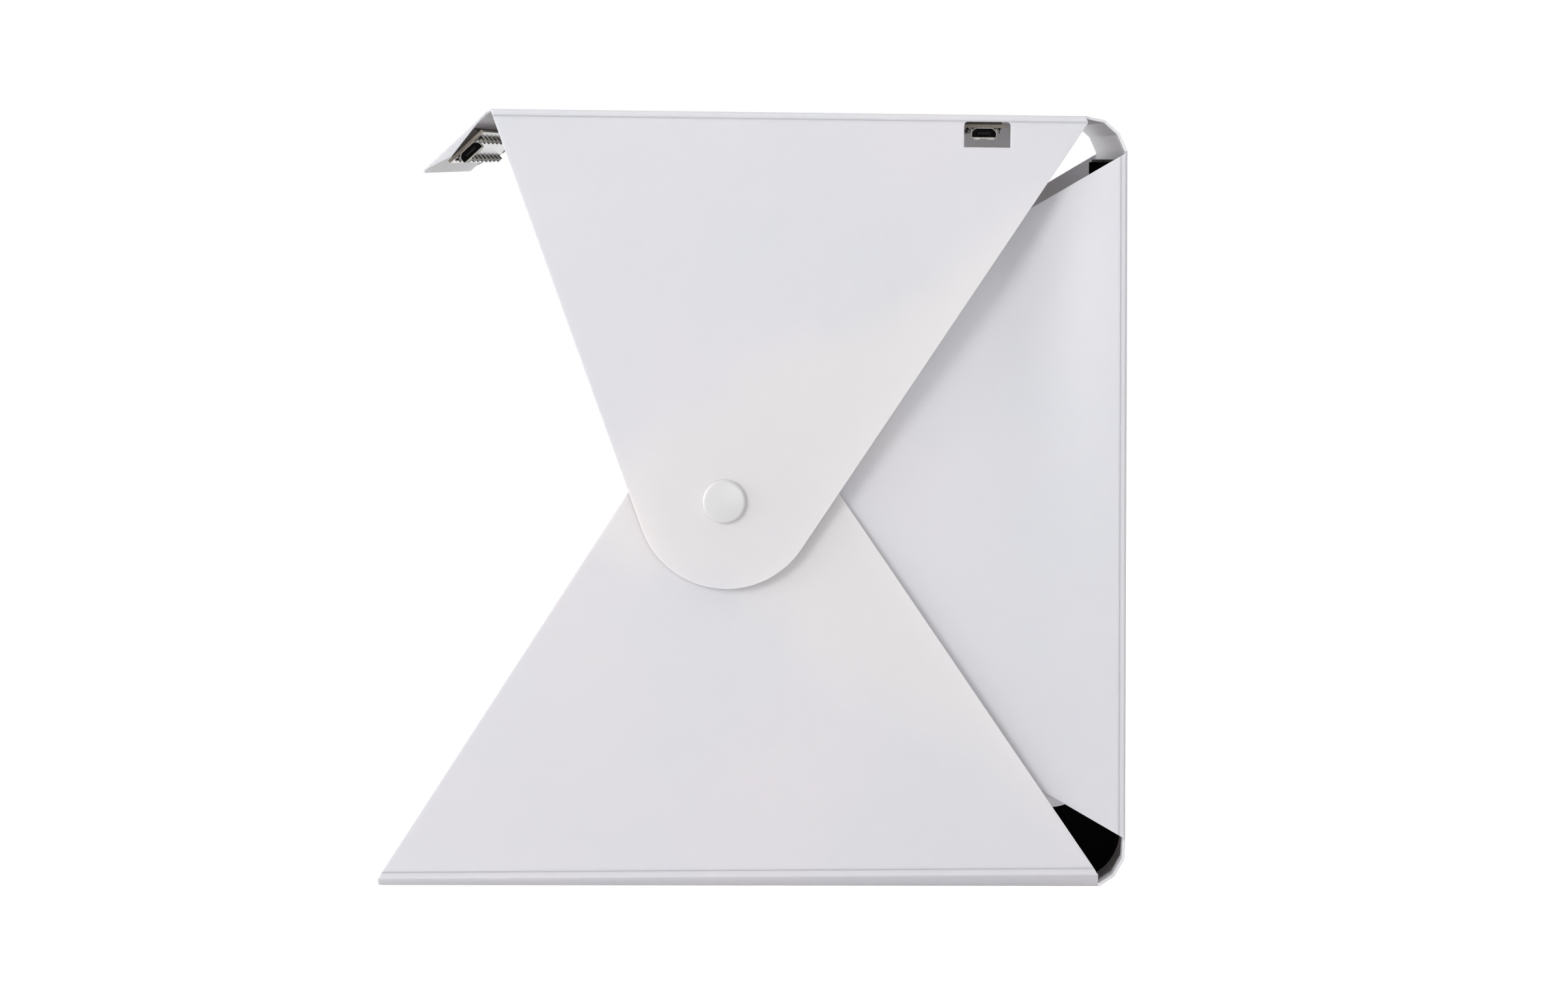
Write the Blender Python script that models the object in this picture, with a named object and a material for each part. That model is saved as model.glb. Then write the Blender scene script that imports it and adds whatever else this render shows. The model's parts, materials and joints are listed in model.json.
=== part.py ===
# Folding photo light box: creased white polypropylene panels, standing open.
# Floor, back, top and front flap are one folded strip. Wings on the floor, the back and
# the top close each side and meet at one press snap. Two LED boards light the inside,
# and a black backdrop sheet hangs from the back and runs out over the floor.
#
# Metres, +Z up, +X to the right, the open front towards -Y.
# The origin lies under the middle of the object, on the surface that it stands on.

import math

import bmesh
import bpy
from mathutils import Matrix, Vector

MM = 0.001

# Sheet and folds
sheet = 0.8 * MM
crease_gap = 0.3 * MM
small_gap = 0.15 * MM
seat_gap = 0.3 * MM
overrun = 2.0 * MM
chamfer_share = 0.25
weld_share = 0.1
smooth_angle = 40.0

# Folded strip, floor to flap, as seen from the side
floor_depth = 222.9 * MM
bend_pitch = 6.0 * MM
back_height = 212.3 * MM
top_depth = 183.2 * MM
flap_length = 28.1 * MM
box_half_width = 113.0 * MM
floor_side_inset = 3.0 * MM
floor_half_width = box_half_width - floor_side_inset
back_side_inset = 1.0 * MM
back_half_width = box_half_width - back_side_inset

lower_bend_turns = (33.0, 27.0, 27.0)
back_turn = 3.0
upper_bend_turns = (24.0, 24.0, 30.0)
top_turn = 11.3
flap_turn = 43.5
flap_largest_turn = 90.0

# Wings and the snap that joins them
snap_forward_of_back = 123.8 * MM
snap_height = 119.1 * MM
wing_layer_space = 3.0 * MM
upper_wing_ear_reach = 1.5 * MM
upper_wing_ear_drop = 1.2 * MM
upper_tip_radius = 27.7 * MM
upper_tip_shift = (0.7 * MM, 0.7 * MM)
lower_tip_radius = 28.5 * MM
lower_tip_shift = (2.4 * MM, 0.0)
back_tip_radius = 32.5 * MM
back_tip_shift = (5.0 * MM, 1.0 * MM)
tip_arc_steps = 20
skirt_front_height = 2.2 * MM
skirt_rear_height = 3.85 * MM
skirt_end_setback = 0.5 * MM
back_wing_end_setback = 0.3 * MM

# Press snaps
snap_sides = 24
snap_cap_steps = 4
snap_cap_radius = 7.0 * MM
snap_cap_height = 2.0 * MM
snap_rim_height = 0.9 * MM
snap_rim_rounding = 0.7 * MM
snap_pin_radius = 1.0 * MM
snap_pin_clearance = 0.5 * MM
snap_hole_radius = snap_pin_radius + snap_pin_clearance
stud_flange_radius = 5.0 * MM
stud_flange_height = 0.5 * MM
stud_collar_radius = 2.5 * MM
stud_collar_bore_radius = snap_pin_radius + snap_pin_clearance
stud_collar_height = 0.9 * MM
stud_collar_clearance = 0.8 * MM
socket_radius = 5.0 * MM
socket_bore_radius = stud_collar_radius + stud_collar_clearance
socket_height = 0.9 * MM
stud_bore_depth = 0.8 * MM
snap_seat_gap = 0.2 * MM
pin_reach = 0.9 * MM

# Cable window in the right-hand upper wing
window_width = 14.2 * MM
window_height = 7.8 * MM
window_below_top = 2.15 * MM
window_behind_light = 1.0 * MM
window_corner_radius = 1.1 * MM
window_corner_steps = 4

# LED boards
board_width = 14.1 * MM
board_thickness = 1.0 * MM
board_right_inset = 3.5 * MM
board_left_inset = 6.0 * MM
board_length = 2 * box_half_width - board_right_inset - board_left_inset
board_standoff = 2.1 * MM
tape_side_inset = 1.5 * MM
tape_end_inset = 1.5 * MM
top_light_from_rear_bend = 31.2 * MM
flap_light_from_crease = 13.2 * MM
led_count = 10
led_end_inset = 10.0 * MM
led_pitch = (board_length - 2 * led_end_inset) / (led_count - 1)
led_length = 3.0 * MM
led_width = 1.8 * MM
led_height = 1.5 * MM
led_base_height = 0.2 * MM
led_row_spread = 8.4 * MM

# Micro USB sockets, one on each board
usb_width = 7.8 * MM
usb_narrow_width = 5.2 * MM
usb_height = 3.1 * MM
usb_shoulder = 1.2 * MM
usb_length = 5.6 * MM
usb_wall = 0.35 * MM
usb_cavity_depth = 4.8 * MM
usb_overhang = 0.8 * MM
usb_tongue_width = 3.9 * MM
usb_tongue_thickness = 0.6 * MM
usb_tongue_setback = 1.0 * MM
usb_tongue_length = usb_cavity_depth - usb_tongue_setback

# Front flap end tabs
end_tab_thickness = 0.8 * MM
end_tab_height = 2.8 * MM
end_tab_peak_share = 0.66
flap_side_clearance = 0.5 * MM

# Black backdrop and its hook and loop strips
backdrop_thickness = 0.5 * MM
backdrop_side_inset = 11.0 * MM
backdrop_half_width = box_half_width - backdrop_side_inset
backdrop_top_below_back = 3.6 * MM
backdrop_bend_radius = 15.0 * MM
backdrop_bend_steps = 10
backdrop_foot_space = 0.6 * MM
backdrop_front_setback = 15.6 * MM
strip_thickness = 0.7 * MM
strip_height = 20.0 * MM
strip_end_inset = 4.0 * MM
strip_middle_space = 5.0 * MM
strip_above_backdrop = 1.0 * MM


# Shared helpers


def clear_scene():
    for thing in list(bpy.data.objects):
        bpy.data.objects.remove(thing, do_unlink=True)


def make_material(name, colour, roughness, metallic=0.0):
    material = bpy.data.materials.new(name)
    material.use_nodes = True
    shader = material.node_tree.nodes["Principled BSDF"]
    shader.inputs["Base Color"].default_value = (*colour, 1.0)
    shader.inputs["Roughness"].default_value = roughness
    shader.inputs["Metallic"].default_value = metallic
    material.diffuse_color = (*colour, 1.0)
    return material


def make_object(name, bm, material, parent, matrix):
    mesh = bpy.data.meshes.new(name)
    bmesh.ops.recalc_face_normals(bm, faces=bm.faces)
    bm.to_mesh(mesh)
    bm.free()
    mesh.materials.append(material)
    thing = bpy.data.objects.new(name, mesh)
    bpy.context.collection.objects.link(thing)
    place(thing, parent, matrix)
    return thing


def place(thing, parent, matrix):
    thing.parent = parent
    thing.location = matrix.to_translation()
    thing.rotation_euler = matrix.to_euler()
    bpy.context.view_layer.update()


def make_empty(name, parent, matrix):
    empty = bpy.data.objects.new(name, None)
    bpy.context.collection.objects.link(empty)
    place(empty, parent, matrix)
    return empty


def face_from(bm, points):
    return bm.faces.new([bm.verts.new(p) for p in points])


def set_back(outline, setbacks):
    # Moves each edge of an anticlockwise outline inwards by its own setback.
    count = len(outline)
    moved = []
    for i in range(count):
        before = (i - 1) % count
        if setbacks[before] == 0.0 and setbacks[i] == 0.0:
            moved.append(outline[i])
            continue
        lines = []
        for j in (before, i):
            start = Vector(outline[j])
            along = (Vector(outline[(j + 1) % count]) - start).normalized()
            inwards = Vector((-along.y, along.x))
            lines.append((start + inwards * setbacks[j], along))
        (first, along_first), (second, along_second) = lines
        turn = along_first.cross(along_second)
        reach = (second - first).cross(along_second) / turn
        moved.append(tuple(first + along_first * reach))
    return moved


def folded_sheet(name, outline, gaps, turns, inward, material, parent, matrix):
    # A flat piece of sheet. Its outer face is the outline at z = 0 and its inner face lies
    # one thickness towards inward. Each edge is cut back by its gap, and mitred so that two
    # pieces that meet at a turn, in degrees, don't touch.
    outer = set_back(outline, gaps)
    mitres = [gap + sheet * math.tan(math.radians(turn) / 2) for gap, turn in zip(gaps, turns)]
    inner = set_back(outline, mitres)
    bm = bmesh.new()
    face = face_from(bm, [(x, y, 0.0) for x, y in outer])
    raised = bmesh.ops.extrude_face_region(bm, geom=[face])["geom"]
    raised_face = next(g for g in raised if isinstance(g, bmesh.types.BMFace))
    for vertex in raised_face.verts:
        nearest = min(range(len(outer)), key=lambda i: (vertex.co.xy - Vector(outer[i])).length)
        vertex.co = (*inner[nearest], inward * sheet)
    return make_object(name, bm, material, parent, matrix)


def prism(name, points, along, material, parent, matrix):
    # The flat outline, pushed along a vector.
    bm = bmesh.new()
    face = face_from(bm, points)
    pushed = bmesh.ops.extrude_face_region(bm, geom=[face])["geom"]
    bmesh.ops.translate(bm, verts=[g for g in pushed if isinstance(g, bmesh.types.BMVert)], vec=along)
    return make_object(name, bm, material, parent, matrix)


def slab(name, low, high, material, parent, matrix):
    points = [
        (low[0], low[1], low[2]),
        (high[0], low[1], low[2]),
        (high[0], high[1], low[2]),
        (low[0], high[1], low[2]),
    ]
    return prism(name, points, (0.0, 0.0, high[2] - low[2]), material, parent, matrix)


def turned(name, profile, material, parent, matrix):
    # A profile of (radius, height) points, spun about Z. It starts and ends on the axis,
    # or is a closed ring when its first point isn't on the axis.
    closed = profile[0][0] > 0.0
    bm = bmesh.new()
    verts = [bm.verts.new((r, 0.0, z)) for r, z in profile]
    pairs = list(zip(verts, verts[1:]))
    if closed:
        pairs.append((verts[-1], verts[0]))
    edges = [bm.edges.new(pair) for pair in pairs]
    bmesh.ops.spin(
        bm,
        geom=verts + edges,
        cent=(0.0, 0.0, 0.0),
        axis=(0.0, 0.0, 1.0),
        angle=2 * math.pi,
        steps=snap_sides,
        use_merge=True,
    )
    bmesh.ops.remove_doubles(bm, verts=bm.verts, dist=small_gap * weld_share)
    thing = make_object(name, bm, material, parent, matrix)
    thing.data.shade_smooth()
    thing.data.set_sharp_from_angle(angle=math.radians(smooth_angle))
    return thing


def cut(thing, cutter):
    cutter.hide_render = True
    cutter.display_type = "WIRE"
    modifier = thing.modifiers.new(cutter.name, "BOOLEAN")
    modifier.operation = "DIFFERENCE"
    modifier.solver = "EXACT"
    modifier.object = cutter


# Panels of the folded strip


def strip_panel(name, length, half_width, start_turn, end_turn, side_turn, material, parent, matrix):
    # x runs across the box, y along the strip, z towards the inside. The turns are the
    # largest that each edge's crease makes.
    outline = [(-half_width, 0.0), (half_width, 0.0), (half_width, length), (-half_width, length)]
    half_gap = crease_gap / 2
    start_gap = half_gap if start_turn is not None else 0.0
    end_gap = half_gap if end_turn is not None else 0.0
    side_gap = half_gap if side_turn else 0.0
    gaps = [start_gap, side_gap, end_gap, side_gap]
    turns = [start_turn or 0.0, side_turn, end_turn or 0.0, side_turn]
    return folded_sheet(name, outline, gaps, turns, 1.0, material, parent, matrix)


def fold(length, turn):
    # From the start of one panel to the start of the next.
    return Matrix.Translation((0.0, length, 0.0)) @ Matrix.Rotation(math.radians(turn), 4, "X")


def strip_depth():
    # How far the folded strip reaches from the floor's front edge to the back panel.
    depth = floor_depth
    angle = 0.0
    for turn in lower_bend_turns:
        angle += turn
        depth += bend_pitch * math.cos(math.radians(angle))
    return depth


def build_strip(white):
    panels = {}
    start = Matrix.Translation((0.0, -strip_depth() / 2, 0.0))
    width = floor_half_width
    parent = None
    panels["floor_panel"] = strip_panel(
        "floor_panel", floor_depth, width, None, lower_bend_turns[0], 0.0, white, parent, start
    )
    width = back_half_width
    parent = panels["floor_panel"]
    length = floor_depth
    turns = lower_bend_turns + (back_turn,)
    for i in range(len(lower_bend_turns)):
        name = f"lower_bend_{i + 1}"
        here = fold(length, turns[i])
        panels[name] = strip_panel(
            name, bend_pitch, width, turns[i], turns[i + 1], 0.0, white, parent, here
        )
        parent = panels[name]
        length = bend_pitch
    here = fold(length, back_turn)
    turns = upper_bend_turns + (top_turn,)
    panels["back_panel"] = strip_panel(
        "back_panel", back_height, width, back_turn, turns[0], 90.0, white, parent, here
    )
    parent = panels["back_panel"]
    length = back_height
    for i in range(len(upper_bend_turns)):
        name = f"upper_bend_{i + 1}"
        here = fold(length, turns[i])
        panels[name] = strip_panel(
            name, bend_pitch, width, turns[i], turns[i + 1], 0.0, white, parent, here
        )
        parent = panels[name]
        length = bend_pitch
    here = fold(length, top_turn)
    width = box_half_width
    panels["top_panel"] = strip_panel(
        "top_panel", top_depth, width, top_turn, flap_largest_turn, 90.0, white, parent, here
    )
    here = fold(top_depth, flap_turn)
    width = flap_half_width()
    parent = panels["top_panel"]
    panels["front_flap"] = strip_panel(
        "front_flap", flap_length, width, flap_largest_turn, None, 0.0, white, parent, here
    )
    return panels


def flap_half_width():
    # The flap swings in between the upper wings, with its end tabs on.
    return box_half_width - sheet - flap_side_clearance - end_tab_thickness - crease_gap


def add_flap_end_tabs(flap, white):
    inner = flap_half_width() + crease_gap
    for side, word in ((1.0, "right"), (-1.0, "left")):
        points = [
            (side * inner, sheet + crease_gap, 0.0),
            (side * inner, flap_length, 0.0),
            (side * inner, flap_length * end_tab_peak_share, end_tab_height),
        ]
        push = (side * end_tab_thickness, 0.0, 0.0)
        prism(f"flap_end_tab_{word}", points, push, white, flap, Matrix.Identity(4))


# Wings


def wing_frame(side, half_width, along):
    # On a strip panel's side edge: x back along the strip, y away from the panel towards
    # its inside, z across the box to the left.
    turned_frame = Matrix(((0.0, 0.0, -1.0), (-1.0, 0.0, 0.0), (0.0, 1.0, 0.0))).to_4x4()
    return Matrix.Translation((side * half_width, along, 0.0)) @ turned_frame


def lean(side, angle):
    # Tips a wing in towards the middle of the box by an angle in radians.
    return Matrix.Rotation(side * angle, 4, "X")


def layer_x(layer):
    # Where the outer face of each layer stands at the snap, counted from the outermost.
    return box_half_width - layer * (sheet + wing_layer_space)


def snap_spot(side, layer):
    return Vector((side * layer_x(layer), strip_depth() / 2 - snap_forward_of_back, snap_height))


def tangent_point(corner, centre, radius, hand):
    # Where the straight edge from a corner touches the round tip.
    away = Vector(corner) - Vector(centre)
    angle = math.acos(radius / away.length)
    return math.atan2(away.y, away.x) + hand * angle


def wing_outline(start, end, ear, centre, radius):
    # Crease from start to end along x, straight sides, and a round tip. An ear is a small
    # corner past the crease's end, given as its reach along x and its drop along y.
    corners = [(start, 0.0), (end, 0.0)]
    if ear:
        corners.append((end + ear[0], ear[1]))
    first = tangent_point(corners[-1], centre, radius, 1.0)
    last = tangent_point(corners[0], centre, radius, -1.0)
    if last < first:
        last += 2 * math.pi
    points = list(corners)
    for i in range(tip_arc_steps + 1):
        angle = first + (last - first) * i / tip_arc_steps
        points.append((centre[0] + radius * math.cos(angle), centre[1] + radius * math.sin(angle)))
    return points


def make_wing(name, side, parent, frame, layer, start, end, ear, shift, radius, crease_turn, white):
    # The wing leans in from its crease so that its outer face meets its layer at the snap.
    upright = parent.matrix_world @ frame
    spot = upright.inverted() @ snap_spot(side, layer)
    leaned = frame @ lean(side, math.atan2(side * spot.z, spot.y))
    place_world = parent.matrix_world @ leaned
    spot = place_world.inverted() @ snap_spot(side, layer)
    moved = snap_spot(side, layer) + Vector((0.0, shift[0], shift[1]))
    centre = place_world.inverted() @ moved
    outline = wing_outline(start, end, ear, (centre.x, centre.y), radius)
    open_edges = len(outline) - 1
    gaps = [crease_gap / 2] + [0.0] * open_edges
    turns = [crease_turn] + [0.0] * open_edges
    wing = folded_sheet(name, outline, gaps, turns, side, white, parent, leaned)
    hole = snap_hole(f"{name}_snap_hole", (spot.x, spot.y), wing)
    cut(wing, hole)
    return wing, Vector((spot.x, spot.y))


def snap_hole(name, centre, wing):
    points = []
    for i in range(snap_sides):
        angle = 2 * math.pi * i / snap_sides
        x = centre[0] + snap_hole_radius * math.cos(angle)
        y = centre[1] + snap_hole_radius * math.sin(angle)
        points.append((x, y, -sheet - overrun))
    push = (0.0, 0.0, 2 * (sheet + overrun))
    return prism(name, points, push, wing.data.materials[0], wing, Matrix.Identity(4))


def add_skirt(name, side, floor, white):
    # Narrow strip between the floor and a lower wing. It leans out from the floor's edge to
    # the box's full width, and is taller at the rear.
    half_gap = crease_gap / 2
    foot = side * (floor_half_width + half_gap)
    head = side * box_half_width
    wall = side * sheet
    bm = bmesh.new()
    ends = []
    rear_end = floor_depth - skirt_end_setback
    for along, height in ((0.0, skirt_front_height), (rear_end, skirt_rear_height)):
        top = height - half_gap
        corners = ((foot, 0.0), (foot + wall, 0.0), (head, top), (head - wall, top))
        ends.append([bm.verts.new((x, along, z)) for x, z in corners])
    front, rear = ends
    bm.faces.new(front)
    bm.faces.new(rear)
    for i in range(len(front)):
        following = (i + 1) % len(front)
        bm.faces.new((front[i], front[following], rear[following], rear[i]))
    return make_object(name, bm, white, floor, Matrix.Identity(4))


def lower_wing_frame(side):
    # The lower wing stands on the skirt's sloping top edge, and its crease follows it.
    slope = math.atan2(skirt_rear_height - skirt_front_height, floor_depth)
    raised = Matrix.Translation((0.0, 0.0, skirt_rear_height))
    level = raised @ wing_frame(side, box_half_width, floor_depth)
    return level @ Matrix.Rotation(-slope, 4, "Z")


def build_wings(panels, white):
    wings = {}
    for side, word in ((1.0, "right"), (-1.0, "left")):
        top = panels["top_panel"]
        floor = panels["floor_panel"]
        back = panels["back_panel"]
        add_skirt(f"lower_skirt_{word}", side, floor, white)
        wings[f"upper_wing_{word}"] = make_wing(
            f"upper_wing_{word}",
            side,
            top,
            wing_frame(side, box_half_width, top_depth),
            0,
            crease_gap,
            top_depth - crease_gap,
            (upper_wing_ear_reach, upper_wing_ear_drop),
            upper_tip_shift,
            upper_tip_radius,
            90.0,
            white,
        )
        wings[f"lower_wing_{word}"] = make_wing(
            f"lower_wing_{word}",
            side,
            floor,
            lower_wing_frame(side),
            1,
            0.0,
            floor_depth,
            None,
            lower_tip_shift,
            lower_tip_radius,
            0.0,
            white,
        )
        wings[f"back_wing_{word}"] = make_wing(
            f"back_wing_{word}",
            side,
            back,
            wing_frame(side, back_half_width, back_height),
            2,
            back_wing_end_setback,
            back_height - back_wing_end_setback,
            None,
            back_tip_shift,
            back_tip_radius,
            90.0,
            white,
        )
    return wings


def cut_window(wing):
    # Opening for the cable of the light under the top panel, with rounded upper corners.
    middle = top_depth - top_light_from_rear_bend + window_behind_light
    left = middle - window_width / 2
    right = left + window_width
    upper = window_below_top
    lower = upper + window_height
    points = [(right, lower), (left, lower)]
    first_corner = (left + window_corner_radius, math.pi)
    second_corner = (right - window_corner_radius, 1.5 * math.pi)
    for centre_x, first in (first_corner, second_corner):
        for i in range(window_corner_steps + 1):
            angle = first + 0.5 * math.pi * i / window_corner_steps
            x = centre_x + window_corner_radius * math.cos(angle)
            y = upper + window_corner_radius + window_corner_radius * math.sin(angle)
            points.append((x, y))
    outline = [(x, y, -sheet - overrun) for x, y in points]
    push = (0.0, 0.0, 2 * (sheet + overrun))
    white = wing.data.materials[0]
    cutter = prism("cable_window_cutter", outline, push, white, wing, Matrix.Identity(4))
    cut(wing, cutter)


# Press snaps


def cap_profile():
    # Low dome with a rounded rim, and a pin that passes through the wing.
    rim = snap_rim_height
    steps = snap_cap_steps
    foot = -snap_seat_gap - sheet - pin_reach
    profile = [(0.0, foot), (snap_pin_radius, foot), (snap_pin_radius, 0.0)]
    profile.append((snap_cap_radius - snap_rim_rounding / 2, 0.0))
    for i in range(steps + 1):
        angle = 0.5 * math.pi * i / steps
        r = snap_cap_radius - snap_rim_rounding + snap_rim_rounding * math.cos(angle)
        profile.append((r, rim - snap_rim_rounding + snap_rim_rounding * math.sin(angle) + small_gap))
    flat = snap_cap_radius - snap_rim_rounding
    for i in range(1, steps):
        share = i / steps
        r = flat * math.cos(0.5 * math.pi * share)
        z = rim + small_gap + (snap_cap_height - rim) * math.sin(0.5 * math.pi * share)
        profile.append((r, z))
    profile.append((0.0, snap_cap_height + small_gap))
    return profile


def socket_profile():
    inner, outer, height = socket_bore_radius, socket_radius, socket_height
    chamfer = height * chamfer_share
    return [(inner, 0.0), (outer - chamfer, 0.0), (outer, chamfer), (outer, height), (inner, height)]


def stud_profile(pin):
    # Flange, collar and a bore down the collar; with a pin, it also reaches through its wing.
    top = stud_flange_height + stud_collar_height
    bore_floor = top - stud_bore_depth
    chamfer = stud_collar_height * chamfer_share
    foot = -snap_seat_gap - sheet - pin_reach
    profile = []
    if pin:
        profile += [(0.0, foot), (snap_pin_radius, foot), (snap_pin_radius, 0.0)]
    else:
        profile += [(0.0, 0.0)]
    profile += [
        (stud_flange_radius, 0.0),
        (stud_flange_radius, stud_flange_height),
        (stud_collar_radius, stud_flange_height),
        (stud_collar_radius, top - chamfer),
        (stud_collar_radius - chamfer, top),
        (stud_collar_bore_radius, top),
        (stud_collar_bore_radius, bore_floor),
        (0.0, bore_floor),
    ]
    return profile


def snap_matrix(side, spot, outwards, lift):
    # A turned part on a wing: its axis square to the sheet, +Z outwards or inwards, lifted
    # from the sheet's outer face.
    flip = Matrix.Identity(4) if outwards == (side < 0.0) else Matrix.Rotation(math.pi, 4, "X")
    return Matrix.Translation((spot.x, spot.y, -side * lift)) @ flip


def add_snaps(wings, plastic):
    gap = snap_seat_gap
    for side, word in ((1.0, "right"), (-1.0, "left")):
        upper, upper_spot = wings[f"upper_wing_{word}"]
        lower, lower_spot = wings[f"lower_wing_{word}"]
        back, back_spot = wings[f"back_wing_{word}"]
        out = snap_matrix(side, upper_spot, True, gap)
        turned(f"snap_cap_{word}", cap_profile(), plastic, upper, out)
        inner = snap_matrix(side, upper_spot, False, -sheet - gap)
        turned(f"snap_socket_{word}", socket_profile(), plastic, upper, inner)
        out = snap_matrix(side, lower_spot, True, gap)
        turned(f"snap_middle_stud_{word}", stud_profile(True), plastic, lower, out)
        inner = snap_matrix(side, lower_spot, False, -sheet - gap)
        turned(f"snap_middle_socket_{word}", socket_profile(), plastic, lower, inner)
        out = snap_matrix(side, back_spot, True, gap)
        turned(f"snap_inner_stud_{word}", stud_profile(False), plastic, back, out)
        inner = snap_matrix(side, back_spot, False, -sheet - gap)
        turned(f"snap_inner_cap_{word}", inner_cap_profile(), plastic, back, inner)


def inner_cap_profile():
    # The innermost cap's pin stays inside its wing, behind the stud.
    return [
        (0.0, -sheet),
        (snap_pin_radius, -sheet),
        (snap_pin_radius, 0.0),
        (snap_cap_radius, 0.0),
        (snap_cap_radius, snap_rim_height - snap_rim_rounding),
        (snap_cap_radius - snap_rim_rounding, snap_rim_height),
        (0.0, snap_cap_height),
    ]


# LED boards


def add_light(prefix, panel, along, materials):
    # Seat at the middle of the board, on the panel's inner face; x across the box,
    # y along the strip, z towards the inside.
    seat = make_empty(f"{prefix}_seat", panel, Matrix.Translation((0.0, along, sheet)))
    right = box_half_width - board_right_inset
    left = right - board_length
    here = Matrix.Identity(4)
    half = board_width / 2
    low = (left + tape_end_inset, tape_side_inset - half, seat_gap)
    high = (right - tape_end_inset, half - tape_side_inset, board_standoff - seat_gap)
    slab(f"{prefix}_tape", low, high, materials["foam"], seat, here)
    board_top = board_standoff + board_thickness
    low = (left, -half, board_standoff)
    high = (right, half, board_top)
    slab(f"{prefix}_board", low, high, materials["board"], seat, here)
    base = board_top + small_gap
    for word, place_y in (("rear", -led_row_spread / 2), ("front", led_row_spread / 2)):
        add_led_row(f"{prefix}_leds_{word}", seat, left + led_end_inset, place_y, base, materials)
    add_usb(prefix, seat, right + usb_overhang, base, materials)


def add_led_row(name, seat, first, place_y, base, materials):
    # A thin lead strip with one raised package for each LED.
    low = place_y - led_width / 2
    last = first + led_pitch * (led_count - 1)
    points = [(first - led_length / 2, low, base), (last + led_length / 2, low, base)]
    for i in reversed(range(led_count)):
        centre = first + led_pitch * i
        right = centre + led_length / 2
        left = centre - led_length / 2
        if i < led_count - 1:
            points.append((right, low, base + led_base_height))
        points.append((right, low, base + led_height))
        points.append((left, low, base + led_height))
        if i > 0:
            points.append((left, low, base + led_base_height))
    prism(name, points, (0.0, led_width, 0.0), materials["led"], seat, Matrix.Identity(4))


def usb_outline(wall):
    # Narrow side towards the board, wide side away from it.
    narrow = usb_narrow_width / 2 - wall
    wide = usb_width / 2 - wall
    corner = (usb_height - usb_shoulder) * chamfer_share
    top = usb_height - wall
    return [
        (-narrow, wall),
        (narrow, wall),
        (wide, usb_shoulder),
        (wide, top - corner),
        (wide - corner, top),
        (corner - wide, top),
        (-wide, top - corner),
        (-wide, usb_shoulder),
    ]


def add_usb(prefix, seat, mouth, base, materials):
    outer = usb_outline(0.0)
    inner = usb_outline(usb_wall)
    count = len(outer)
    bm = bmesh.new()
    rings = []
    for outline, x in (
        (outer, mouth - usb_length),
        (outer, mouth),
        (inner, mouth),
        (inner, mouth - usb_cavity_depth),
    ):
        rings.append([bm.verts.new((x, y, base + z)) for y, z in outline])
    for ring, following in zip(rings, rings[1:]):
        for i in range(count):
            j = (i + 1) % count
            bm.faces.new((ring[i], ring[j], following[j], following[i]))
    bm.faces.new(rings[0])
    bm.faces.new(rings[-1])
    make_object(f"{prefix}_usb_shell", bm, materials["metal"], seat, Matrix.Identity(4))
    middle = base + usb_height / 2
    half = usb_tongue_width / 2
    rear = mouth - usb_cavity_depth + small_gap
    slab(
        f"{prefix}_usb_tongue",
        (rear, -half, middle - usb_tongue_thickness / 2),
        (rear + usb_tongue_length, half, middle + usb_tongue_thickness / 2),
        materials["dark"],
        seat,
        Matrix.Identity(4),
    )


# Backdrop


def backdrop_face_height():
    # How far the backdrop's rear face stands off the back panel's outer face.
    return sheet + 3 * seat_gap + 2 * strip_thickness


def backdrop_seat(panels):
    # The backdrop stands on the floor, in the back panel's frame: y up the panel, z
    # forwards into the box.
    floor = panels["floor_panel"]
    back = panels["back_panel"]
    return make_empty("backdrop_seat", floor, floor.matrix_world.inverted() @ back.matrix_world)


def build_backdrop(seat, black):
    to_back = seat.matrix_world.inverted()
    front = -strip_depth() / 2 + backdrop_front_setback
    bottom = sheet + seat_gap
    rear_foot = strip_depth() / 2 - sheet - backdrop_foot_space
    middle = Vector((rear_foot - backdrop_bend_radius, bottom + backdrop_bend_radius))
    top_edge = Vector((0.0, back_height - backdrop_top_below_back, backdrop_face_height()))
    top_world = seat.matrix_world @ top_edge
    outer = [(front, bottom)]
    inner = [(front, bottom + backdrop_thickness)]
    drop = top_world.z - middle.y
    lean_in = math.atan2(rear_foot - top_world.y, drop)
    for i in range(backdrop_bend_steps + 1):
        angle = -0.5 * math.pi + (0.5 * math.pi + lean_in) * i / backdrop_bend_steps
        for points, radius in (
            (outer, backdrop_bend_radius),
            (inner, backdrop_bend_radius - backdrop_thickness),
        ):
            points.append((middle.x + radius * math.cos(angle), middle.y + radius * math.sin(angle)))
    outer.append((top_world.y, top_world.z))
    inner.append((top_world.y - backdrop_thickness, top_world.z))
    bm = bmesh.new()
    points = [to_back @ Vector((-backdrop_half_width, y, z)) for y, z in outer + inner[::-1]]
    face = face_from(bm, points)
    pushed = bmesh.ops.extrude_face_region(bm, geom=[face])["geom"]
    verts = [g for g in pushed if isinstance(g, bmesh.types.BMVert)]
    bmesh.ops.translate(bm, verts=verts, vec=(2 * backdrop_half_width, 0.0, 0.0))
    bmesh.ops.triangulate(bm, faces=[f for f in bm.faces if len(f.verts) > 4])
    make_object("backdrop_sheet", bm, black, seat, Matrix.Identity(4))


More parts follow.
